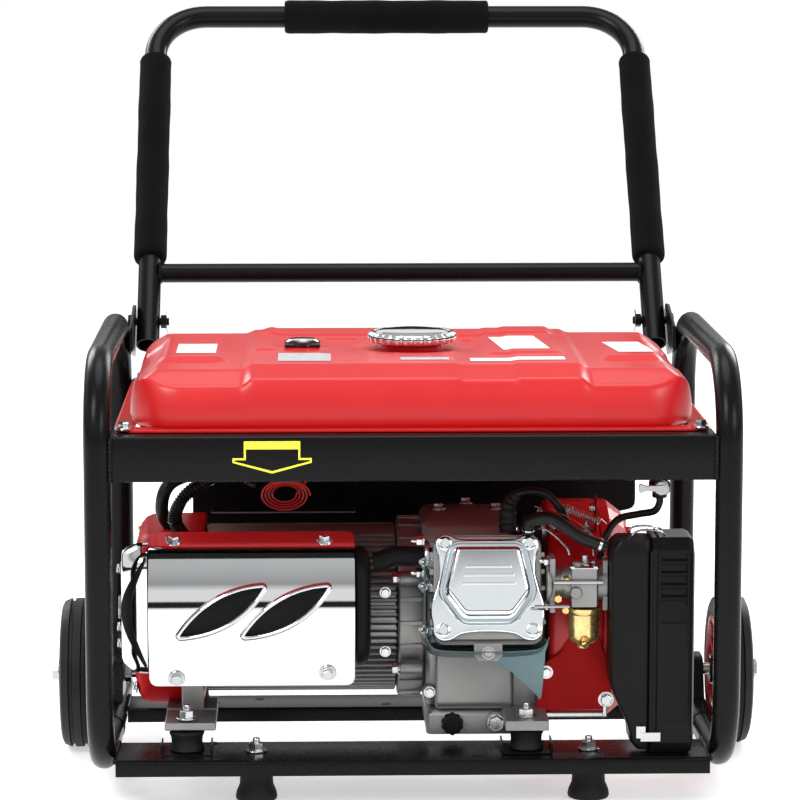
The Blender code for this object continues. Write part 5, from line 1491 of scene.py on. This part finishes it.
def build_leads():
    """Spark lead with its boot, breather tube with clamps, and fuel hose."""
    bm = new()
    lead = smooth_path([at(.092, -.111, .26), at(.093, -.108, .276), at(.104, -.11, .288),
        at(.128, -.104, .286), at(.145, -.1, .268), at(.15, -.085, .256)], 10)
    add_tube(bm, lead, 0.0036, 16)
    free_hose(make("spark_cable", bm, "hose", replaces=["spark_lead"]), lead)
    bm = new()
    boot = [at(.0925, -.113, .25), at(.0922, -.1105, .262), at(.0935, -.108, .277), at(.101, -.109, .286)]
    add_tube(bm, smooth_path(boot, 8), lambda t: 0.0084 - 0.003 * smoothstep(0.35, 1.0, t)
        + 0.0006 * math.cos(t * 40), 28)
    make("spark_boot", bm, "rubber")
    bm = new()
    hose = smooth_path([at(.11, -.1275, .253), at(.113, -.132, .264), at(.132, -.142, .268),
        at(.158, -.15, .252), at(.183, -.15, .242)], 10)
    add_tube(bm, hose, 0.006, 24)
    free_hose(make("breather_tube", bm, "hose", replaces=["breather_hose"]), hose)
    bm = new()
    for t, size in ((2, 0.0068), (len(hose) - 4, 0.0068)):
        add_tube(bm, [hose[t], hose[t + 1]], size, 24)
    make("breather_clamps", bm, "zinc")
    path = [at(0.236, -0.12, 0.285), at(0.236, -0.12, 0.279), at(0.231, -0.119, 0.271),
        at(0.216, -0.113, 0.267), at(0.198, -0.111, 0.262), at(0.186, -0.119, 0.248),
        at(0.179, -0.126, 0.226)]
    bm = new()
    add_tube(bm, smooth_path(path, 8), 0.0035, 16)
    free_hose(make("fuel_hose", bm, "hose"), smooth_path(path, 8))


# ---------------------------------------------------------------- muffler and its guard
GUARD_LEFT, GUARD_RIGHT = -0.248, -0.0545
GUARD_CORNER = 0.008
GUARD_PATH = smooth_path([(-0.13, 0.255, 0), (-0.148, 0.244, 0), (-0.16, 0.23, 0), (-0.171, 0.208, 0),
    (-0.175, 0.185, 0), (-0.172, 0.16, 0), (-0.164, 0.135, 0), (-0.156, 0.112, 0)], 12)


def guard_y(z):
    """Depth of the bowed front at a height."""
    for a, b in zip(GUARD_PATH, GUARD_PATH[1:]):
        if b.y <= z <= a.y:
            return a.x + (b.x - a.x) * (a.y - z) / max(1e-9, a.y - b.y)
    return GUARD_PATH[-1].x


def guard_column(trim, count):
    """Points down the bowed section, with the same length cut from both ends."""
    spans = [(b - a).length for a, b in zip(GUARD_PATH, GUARD_PATH[1:])]
    total = sum(spans)
    points = []
    for j in range(count):
        left = trim + (total - 2 * trim) * j / (count - 1)
        k = 0
        while k < len(spans) - 1 and left > spans[k]:
            left -= spans[k]
            k += 1
        points.append(GUARD_PATH[k].lerp(GUARD_PATH[k + 1], min(1.0, left / spans[k])))
    return points


def leaf(cx, cz, half, width, lean, grow, count=24, fan=7):
    """Leaf outline between two arcs, pushed out by grow with rounded tips."""
    loop = []
    tip = math.atan(2 * width / half)
    for side, sign in ((0.0, 1), (math.pi, -1)):
        points = []
        for i in range(count + 1):
            u = sign * half * math.cos(math.pi * i / count)
            points.append((u, sign * width * (1 - (u / half) ** 2),
                math.pi / 2 + side - sign * math.atan(2 * width * u / half ** 2)))
        for i in range(1, fan + 1):
            points.append((-sign * half, 0.0, math.pi / 2 + side + tip + (math.pi - 2 * tip) * i / (fan + 1)))
        for u, v, angle in points:
            u, v = u + grow * math.cos(angle), v + grow * math.sin(angle)
            loop.append((cx + u * math.cos(lean) - v * math.sin(lean),
                cz + u * math.sin(lean) + v * math.cos(lean)))
    return loop


def inside(x, z, cx, cz, half, width, lean):
    """True where a point of the sheet falls in a leaf opening."""
    u = (x - cx) * math.cos(lean) + (z - cz) * math.sin(lean)
    v = (z - cz) * math.cos(lean) - (x - cx) * math.sin(lean)
    return abs(u) < half and abs(v) < width * (1 - (u / half) ** 2)


def build_guard():
    """Bowed mirror-polished guard with two leaf openings in rolled lips over a dark inner sheet."""
    leaves = [(x, 0.186, 0.0445, 0.0112, math.radians(30.6)) for x in (-0.1795, -0.119)]
    cuts = [(x, z, half + 0.003, width + 0.0024, lean) for x, z, half, width, lean in leaves]
    columns, count = 160, 120
    bm = new()
    grid = []
    for i in range(columns + 1):
        x = GUARD_LEFT + (GUARD_RIGHT - GUARD_LEFT) * i / columns
        over = max(0.0, GUARD_CORNER - min(x - GUARD_LEFT, GUARD_RIGHT - x))
        trim = GUARD_CORNER - math.sqrt(max(0.0, GUARD_CORNER ** 2 - over ** 2))
        grid.append([bm.verts.new(at(x, p.x, p.y)) for p in guard_column(trim, count)])
    for i in range(columns):
        for j in range(count - 1):
            corners = (grid[i][j], grid[i + 1][j], grid[i + 1][j + 1], grid[i][j + 1])
            x = sum(v.co.x for v in corners) / 4
            z = sum(v.co.z for v in corners) / 4
            if not any(inside(x, z, *shape) for shape in cuts):
                bm.faces.new(corners)
    loose = [v for v in bm.verts if not v.link_faces]
    bmesh.ops.delete(bm, geom=loose, context="VERTS")
    bmesh.ops.recalc_face_normals(bm, faces=bm.faces)
    bmesh.ops.solidify(bm, geom=bm.faces[:], thickness=0.0012)
    make("guard_sheet", bm, "chrome", replaces=["muffler_shield"], smooth=40)
    for k, shape in enumerate(leaves):
        bm = new()
        rings = [[bm.verts.new(at(x, guard_y(z) - proud, z)) for x, z in leaf(*shape, grow)] for grow,
            proud in ((-0.0002, -0.0045), (0.0, 0.0), (0.0006, 0.0016), (0.0016, 0.0026), (0.0028, 0.0026),
            (0.0038, 0.0016), (0.0046, 0.0003), (0.0054, -0.0006))]
        rings_to_faces(bm, rings, caps=False)
        make(f"guard_lip_{k}", bm, "chrome", smooth=70)
        bm = new()
        hub = bm.verts.new(at(shape[0], guard_y(shape[1]) + 0.0042, shape[1]))
        ring = [bm.verts.new(at(x, guard_y(z) + 0.0034, z)) for x, z in leaf(*shape, 0.0008)]
        for j in range(len(ring)):
            bm.faces.new((ring[j], ring[(j + 1) % len(ring)], hub))
        make(f"guard_lens_{k}", bm, "heat_black")
    bm = new()
    for x in (-0.2245, -0.0825):
        add_hex(bm, at(x, -0.14, 0.2491), Vector((0, -0.52, 0.85)), 0.0095, 0.005, washer=0.0078)
    for x, z in ((-0.2225, 0.1205), (-0.08, 0.1255)):
        add_hex(bm, at(x, guard_y(z) - 0.0002, z), Vector((0, -0.95, -0.31)), 0.0095, 0.005, washer=0.0078)
    make("guard_bolts", bm, "zinc")


def can_outline(inset=0.0):
    """Oval of the muffler can in (y, z)."""
    return rounded_rect((-0.164 + inset, 0.126 + inset), (-0.096 - inset, 0.24 - inset), 0.033 - inset, 14)


def build_muffler():
    """Oval can with rolled end seams and a domed right cap."""
    bm = new()
    rings = [[bm.verts.new(at(x, y, z)) for y, z in can_outline(inset)] for x,
        inset in ((-0.039, 0.024), (-0.0394, 0.015), (-0.0405, 0.008), (-0.0425, 0.0036), (-0.045, 0.0012),
        (-0.048, 0.0), (-0.052, 0.0), (-0.053, 0.0014), (-0.056, 0.0018), (-0.254, 0.0018), (-0.256, 0.0014),
        (-0.258, 0.0), (-0.264, 0.0), (-0.269, 0.0014), (-0.272, 0.0045), (-0.2736, 0.01), (-0.274, 0.02))]
    rings_to_faces(bm, rings)
    make("muffler_can", bm, "heat_black", replaces=["muffler_body"], smooth=50)
    bm = new()
    add_lathe(bm, at(-0.2734, -0.13, 0.183), (-1, 0, 0), [(0.0088, -0.002), (0.0112, -0.002),
        (0.0112, 0.0036), (0.0106, 0.0042), (0.0088, 0.0038)], 40, closed=True)
    make("muffler_outlet", bm, "steel", slot="muffler_black")
    guard_end()


def guard_end():
    """Bowed polished end guard left of the can with a dark crescent, and the bolts that hold it."""
    def depth(x):
        """How far the sheet curls back towards its left edge."""
        t = min(1.0, max(0.0, (-0.249 - x) / 0.0245))
        return 0.001 + 0.0105 * t ** 2.6
    bm = new()
    rings = []
    for i in range(14):
        x = -0.249 - 0.0245 * i / 13
        inset = depth(x)
        loop = rounded_rect((-0.1705 + inset, 0.1225 + inset * 0.8), (-0.112, 0.2465 - inset * 0.8), 0.02, 12)
        rings.append([bm.verts.new(at(x, y, z)) for y, z in loop])
    rings_to_faces(bm, rings)
    make("guard_end", bm, "chrome", smooth=60)
    bm = new()
    rings = []
    for i in range(41):
        t = i / 40
        z = 0.238 - 0.106 * t
        center = -0.2505 - 0.019 * math.sin(math.pi * t) ** 1.2
        half = 0.0008 + 0.004 * math.sin(math.pi * t) ** 0.8
        corner = 0.007 * (max(0.0, abs(z - 0.1845) - 0.042) / 0.02) ** 2
        row = []
        for side, proud in ((-1, -0.001), (-0.94, 0.0012), (-0.5, 0.0014), (0, 0.0014), (0.5, 0.0014),
                (0.94, 0.0012), (1, -0.001)):
            x = min(-0.2492, center + side * half)
            row.append(bm.verts.new(at(x, -0.1705 + depth(x) - proud + corner, z)))
        rings.append(row)
    for a, b in zip(rings, rings[1:]):
        for j in range(len(a) - 1):
            bm.faces.new((a[j], a[j + 1], b[j + 1], b[j]))
    make("guard_end_slot", bm, "heat_black")
    bolts("guard_end_bolts", [at(-0.2733, y, z) for y, z in ((-0.13, 0.22), (-0.13, 0.148), (-0.13, 0.164))],
        (-1, 0, 0), 0.008, 0.0045, washer=0.0068)


def build_exhaust():
    """Bent exhaust elbow from the port to the can, with its flange and two nuts."""
    path = smooth_path([at(0.0185, -0.118, 0.227), at(0.005, -0.118, 0.228), at(-0.016, -0.12, 0.229),
        at(-0.029, -0.122, 0.2245), at(-0.0365, -0.122, 0.2235)], 8)
    bm = new()
    add_tube(bm, path, 0.0095, 32)
    make("exhaust_elbow", bm, "heat_black", replaces=["exhaust_pipe"])
    bm = new()
    add_lathe(bm, at(0.012, -0.118, 0.2275), "X", [(0.0098, 0.0), (0.015, 0.0004), (0.0154, 0.0012),
        (0.0154, 0.0042), (0.0098, 0.0048)], 40, closed=True)
    make("exhaust_flange", bm, "steel")
    bolts("exhaust_nuts", [at(0.0122, -0.118 + dy, 0.2275 + dz) for dy,
        dz in ((0.0, 0.0155), (0.0, -0.0155))], (-1, 0, 0), 0.0085, 0.006, washer=0.0066, stud=0.005)


# ---------------------------------------------------------------- control panel side and wiring
SOCKET_COLUMNS, SOCKET_ROWS = (-0.056, 0.006), (0.195, 0.225)
METER_X, METER_Z = -0.025, 0.275
SPLASH_LEFT, SPLASH_RIGHT, SPLASH_TOP_Z = -0.215, 0.235, 0.313
SPLASH_NEAR_Y, SPLASH_FAR_Y = 0.107, 0.1088


def build_panel():
    """Control box with its rolled front plate, outlets, meter, switch, breaker and ground stud."""
    low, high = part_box("panel_box")
    bm = new()
    rings = []
    for y, inset in ((low.y, 0.004), (low.y + 0.0015, 0.0), (high.y - 0.008, 0.0), (high.y - 0.008, -0.004),
            (high.y - 0.003, -0.004), (high.y - 0.001, -0.003), (high.y, 0.0)):
        grow = max(inset, -0.0)
        loop = rounded_rect((low.x + grow, low.z + grow), (high.x - grow, high.z - grow), 0.01, 6)
        rings.append([bm.verts.new((x, y, z)) for x, z in loop])
    rings_to_faces(bm, rings)
    make("panel_case", bm, "plastic", replaces=["panel_box"], smooth=40)
    plate_low, plate_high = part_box("outlet_plate")
    bm = new()
    rings = []
    for y, inset in ((plate_low.y, 0.0), (plate_high.y - 0.001, 0.0), (plate_high.y - 0.0003, 0.0006),
            (plate_high.y, 0.002)):
        loop = rounded_rect((plate_low.x + inset, plate_low.z + inset),
            (plate_high.x - inset, plate_high.z - inset), 0.006, 6)
        rings.append([bm.verts.new((x, y, z)) for x, z in loop])
    rings_to_faces(bm, rings)
    make("outlet_face", bm, "plastic", replaces=["outlet_plate"], smooth=40)
    for k, cx in enumerate(SOCKET_COLUMNS):
        for m, cz in enumerate(SOCKET_ROWS):
            bm = new()
            rings = [[bm.verts.new((cx + r * math.cos(a) * 1.12, plate_high.y + dy - 0.0002,
                cz + max(-0.0098, min(0.0098, r * math.sin(a))))) for a in around(48)] for dy,
                r in ((0.0, 0.0128), (0.0008, 0.013), (0.0012, 0.0126))]
            rings_to_faces(bm, rings)
            make(f"socket_{k}{m}", bm, "gloss_black", smooth=40)
            bm = new()
            for dx, h in ((-0.0045, 0.0042), (0.0045, 0.0034)):
                add_box(bm, (cx + dx - 0.0008, plate_high.y + 0.0009, cz - h + 0.0015),
                    (cx + dx + 0.0008, plate_high.y + 0.00115, cz + h + 0.0015))
            add_lathe(bm, Vector((cx, plate_high.y + 0.0009, cz - 0.006)), "Y",
                [(0.0022, 0.0), (0.0022, 0.00025)], 16)
            make(f"socket_slots_{k}{m}", bm, "brass", slot="black_plastic")
    bm = new()
    for x, z in ((-0.084, 0.21), (0.034, 0.21), (-0.025, 0.234), (-0.025, 0.186)):
        add_lathe(bm, Vector((x, plate_high.y - 0.0001, z)), "Y",
            [(0.003, 0.0), (0.003, 0.001), (0.002, 0.0016)], 20)
    for x in (low.x + 0.01, high.x - 0.01):
        for z in (low.z + 0.01, high.z - 0.01):
            add_lathe(bm, Vector((x, high.y - 0.0002, z)), "Y",
                [(0.004, 0.0), (0.004, 0.0012), (0.0026, 0.0022)], 20)
    make("panel_screws", bm, "zinc")
    panel_fittings(high.y)


def panel_fittings(face):
    """Meter, rocker switch, breaker, ground stud and carrying brackets on the panel's face."""
    bm = new()
    add_lathe(bm, Vector((METER_X, face - 0.0002, METER_Z)), "Y", [(0.0225, 0.0), (0.0235, 0.0012),
        (0.0235, 0.004), (0.0215, 0.005), (0.0205, 0.004), (0.0004, 0.0036)], 64)
    make("meter_rim", bm, "gloss_black")
    bm = new()
    add_lathe(bm, Vector((METER_X, face + 0.0034, METER_Z)), "Y", [(0.02, 0.0), (0.02, 0.0004)], 64)
    make("meter_dial", bm, "label", slot="black_plastic")
    bm = new()
    for i in range(9):
        angle = math.radians(35 + 110 * i / 8)
        out, inside = 0.0185, 0.0185 - (0.004 if i % 4 == 0 else 0.0026)
        c, s = math.cos(angle), math.sin(angle)
        add_tube(bm, [Vector((METER_X + c * inside, face + 0.004, 0.27 + s * inside)),
            Vector((METER_X + c * out, face + 0.004, 0.27 + s * out))], 0.0003, 6)
    add_tube(bm, [Vector((METER_X, face + 0.0042, 0.266)), Vector((-0.017, face + 0.0042, 0.285))], 0.0004, 6)
    make("meter_marks", bm, "heat_black", slot="black_plastic")
    low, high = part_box("engine_switch")
    bm = new()
    rocker = [(low.y, low.z + 0.001), (low.y, high.z - 0.001), (high.y, high.z - 0.0004),
        (high.y - 0.0032, (low.z + high.z) / 2), (high.y - 0.0022, low.z + 0.0004)]
    add_prism(bm, rocker, "YZ", low.x + 0.0003, high.x - 0.0003)
    make("switch_rocker", bm, "rim", "engine_switch", "red_plastic", ["engine_switch"], bevel=0.0006)
    bm = new()
    outer = rounded_rect((low.x - 0.0035, low.z - 0.0052), (high.x + 0.0035, high.z + 0.0052), 0.003, 4)
    inner = rounded_rect((low.x - 0.0006, low.z - 0.0026), (high.x + 0.0006, high.z + 0.0026), 0.001, 4)
    rings = [[bm.verts.new((x, y, z)) for x, z in loop] for loop, y in ((outer, face - 0.0002),
        (outer, face + 0.0012), (inner, face + 0.0012), (inner, face - 0.0002))]
    rings_to_faces(bm, rings, closed=True)
    make("switch_frame", bm, "gloss_black", bevel=0.0003)
    low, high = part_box("breaker_button")
    spot = Vector(((low.x + high.x) / 2, low.y, (low.z + high.z) / 2))
    reach = high.y - low.y
    bm = new()
    add_lathe(bm, spot, "Y", [(0.005, 0.0), (0.0053, 0.0004), (0.0053, reach - 0.001), (0.0044, reach)], 32)
    make("breaker_cap", bm, "gloss_black", "breaker_button", "black_plastic", ["breaker_button"])
    bm = new()
    add_lathe(bm, Vector((spot.x, face - 0.0002, spot.z)), "Y", [(0.0062, 0.0), (0.009, 0.0), (0.009, 0.0014),
        (0.008, 0.0022), (0.0062, 0.0022)], 40, closed=True)
    make("breaker_ring", bm, "zinc")
    bm = new()
    add_hex(bm, Vector((0.064, face - 0.0002, 0.195)), "Y", 0.009, 0.004, washer=0.008, stud=0.004)
    make("ground_stud", bm, "brass")
    bm = new()
    for x in (-0.125, 0.045):
        add_box(bm, (x - 0.012, MID_Y + 0.13, 0.31), (x + 0.012, MID_Y + 0.186, 0.3118))
        add_box(bm, (x - 0.012, MID_Y + 0.1842, 0.31), (x + 0.012, MID_Y + 0.186, 0.327))
    make("panel_brackets", bm, "frame", bevel=0.0004)


def build_wiring():
    """Coiled red lead under the tank, loose leads, sleeved harnesses and a connector block."""
    bm = new()
    path = []
    turns, steps = 4, 60
    coil_x, coil_y, coil_z, flatness = -0.12, -0.066, 0.2785, 0.66
    for i in range(turns * steps + 1):
        angle = 2 * math.pi * i / steps
        share = i / (turns * steps)
        radius = 0.024 - 0.013 * share
        path.append(at(coil_x + radius * math.cos(angle), coil_y + 0.01 * share,
            coil_z + flatness * radius * math.sin(angle)))
    add_tube(bm, path, 0.001, 8)
    free_hose(make("red_lead", bm, "red_wire"), path)
    wire("red_lead_tail", ((-0.109, -0.054, 0.2785), (-0.094, -0.044, 0.294), (-0.072, -0.02, 0.3),
        (-0.06, 0.03, 0.296), (-0.058, 0.108, 0.29)), 0.0011, "red_wire", slot="red_plastic", free=True)
    wire("black_lead", ((-0.15, -0.064, 0.288), (-0.16, -0.04, 0.292), (-0.15, 0.02, 0.298),
        (-0.14, 0.108, 0.292)), 0.0022, "hose", slot="rubber", free=True)
    wire("harness", ((-0.23, -0.03, 0.238), (-0.24, -0.042, 0.262), (-0.23, -0.042, 0.288),
        (-0.19, -0.01, 0.296), (-0.15, 0.05, 0.292), (-0.132, 0.109, 0.286)), 0.0065, "hose", slot="rubber",
        sides=18, steps=12, free=True)
    bm = new()
    sleeve = smooth_path([at(-0.218, -0.065, 0.239), at(-0.226, -0.078, 0.26), at(-0.214, -0.08, 0.283),
        at(-0.185, -0.056, 0.298), at(-0.15, -0.01, 0.302)], 40)
    count = len(sleeve)
    add_tube(bm, sleeve, lambda t: 0.006 + 0.0007 * math.cos(t * count * 1.6), 18)
    free_hose(make("corrugated_sleeve", bm, "plastic", smooth=60), sleeve)
    bm = new()
    for index in (34, 110):
        add_tube(bm, [sleeve[index], sleeve[index + 2]], 0.0074, 18)
    make("sleeve_ties", bm, "gloss_black")
    bm = new()
    add_box(bm, (-0.104, MID_Y - 0.008, 0.288), (-0.076, MID_Y + 0.012, 0.302))
    add_box(bm, (-0.101, MID_Y - 0.012, 0.2905), (-0.079, MID_Y - 0.008, 0.2995))
    make("connector_block", bm, "plastic", bevel=0.001)


def build_ignition():
    """Ignition coil and air deflector above the crankcase."""
    bm = new()
    add_box(bm, (0.106, MID_Y - 0.072, 0.229), (0.128, MID_Y - 0.03, 0.245))
    add_lathe(bm, at(0.117, -0.056, 0.244), "Z", [(0.009, 0.0), (0.009, 0.01), (0.008, 0.011)], 28)
    make("ignition_coil", bm, "plastic", bevel=0.0014)
    bm = new()
    panel = [(-0.056, 0.2265), (-0.042, 0.25), (-0.02, 0.256), (0.03, 0.254), (0.05, 0.2265)]
    add_prism(bm, [(MID_Y + y, z) for y, z in panel], "YZ", 0.012, 0.104)
    make("air_deflector", bm, "cast", bevel=0.009, segments=5)
    bolts("deflector_bolts", [at(x, y, 0.2556) for x, y in ((0.03, -0.015), (0.086, -0.015), (0.058, 0.018))],
        "Z", 0.0085, 0.005, washer=0.007)


def build_inner_panel():
    """Dark splash plate across the frame behind the engine, carried by the control box."""
    bm = new()
    outline = rounded_polygon([(SPLASH_LEFT, 0.22), (-0.19, 0.21), (0.15, 0.218), (SPLASH_RIGHT, 0.235),
        (SPLASH_RIGHT, SPLASH_TOP_Z), (SPLASH_LEFT, SPLASH_TOP_Z)], 0.008)
    add_prism(bm, outline, "XZ", MID_Y + SPLASH_NEAR_Y, MID_Y + SPLASH_FAR_Y)
    add_box(bm, (SPLASH_LEFT, MID_Y + 0.099, 0.3112), (SPLASH_RIGHT, MID_Y + SPLASH_FAR_Y, SPLASH_TOP_Z))
    make("splash_plate", bm, "plastic", bevel=0.0005)
    bolts("splash_bolts", [at(x, 0.1068, 0.302) for x in (-0.195, -0.1, 0.0, 0.1, 0.215)], "-Y", 0.0075,
        0.004, washer=0.0065)
    bm = new()
    add_box(bm, (-0.196, MID_Y + 0.088, 0.235), (-0.05, MID_Y + 0.0886, 0.2362))
    add_box(bm, (-0.196, MID_Y + 0.088, 0.235), (-0.1948, MID_Y + 0.107, 0.2362))
    add_box(bm, (-0.0512, MID_Y + 0.088, 0.235), (-0.05, MID_Y + 0.107, 0.2362))
    make("wire_guide", bm, "steel", bevel=0.0003)


# ---------------------------------------------------------------- assembly
SLOT_LOOK = {"black_frame_paint": "frame", "rubber": "rubber", "zinc_bolts": "zinc", "tyre_rubber": "tyre",
             "red_plastic": "rim", "foam_grip": "foam", "red_paint": "red", "chrome": "chrome",
             "valve_cover_zinc": "cover", "cast_aluminium": "cast", "steel": "steel",
             "muffler_black": "heat_black",
             "gold_zinc": "gold", "black_plastic": "plastic"}


def dress_cad_nodes():
    """CAD nodes that stay in view get the procedural finish of their record slot."""
    slots = {part["node"]: part["material_slot"] for part in frame["record"]["subparts"]}
    for name, obj in NODES.items():
        obj.data.materials.clear()
        obj.data.materials.append(MAT[SLOT_LOOK[slots[name]]])


studio()
dress_cad_nodes()
for side, sign in SIDES:
    hoop(side, sign)
    wheel(side)
    axle(side, sign)
    wheel_bracket(side)
    handle_pivot(side, sign)
for end, sign in (("near", -1), ("far", 1)):
    tank_beam(end, sign)
    base_channel(end)
feet()
isolators()
arrow_decal()
handle_tubes()
handle_grips()
build_tank()
build_tank_trim()
build_cap()
build_gauge()
build_fuel_valve()
build_valve_cover()
build_cylinder()
build_heat_plate()
build_heat_skirt()
build_crankcase()
build_alternator()
build_carburettor()
build_linkage()
build_shroud()
build_filter()
build_starter_grip()
build_leads()
build_guard()
build_muffler()
build_exhaust()
build_panel()
build_wiring()
build_ignition()
build_inner_panel()
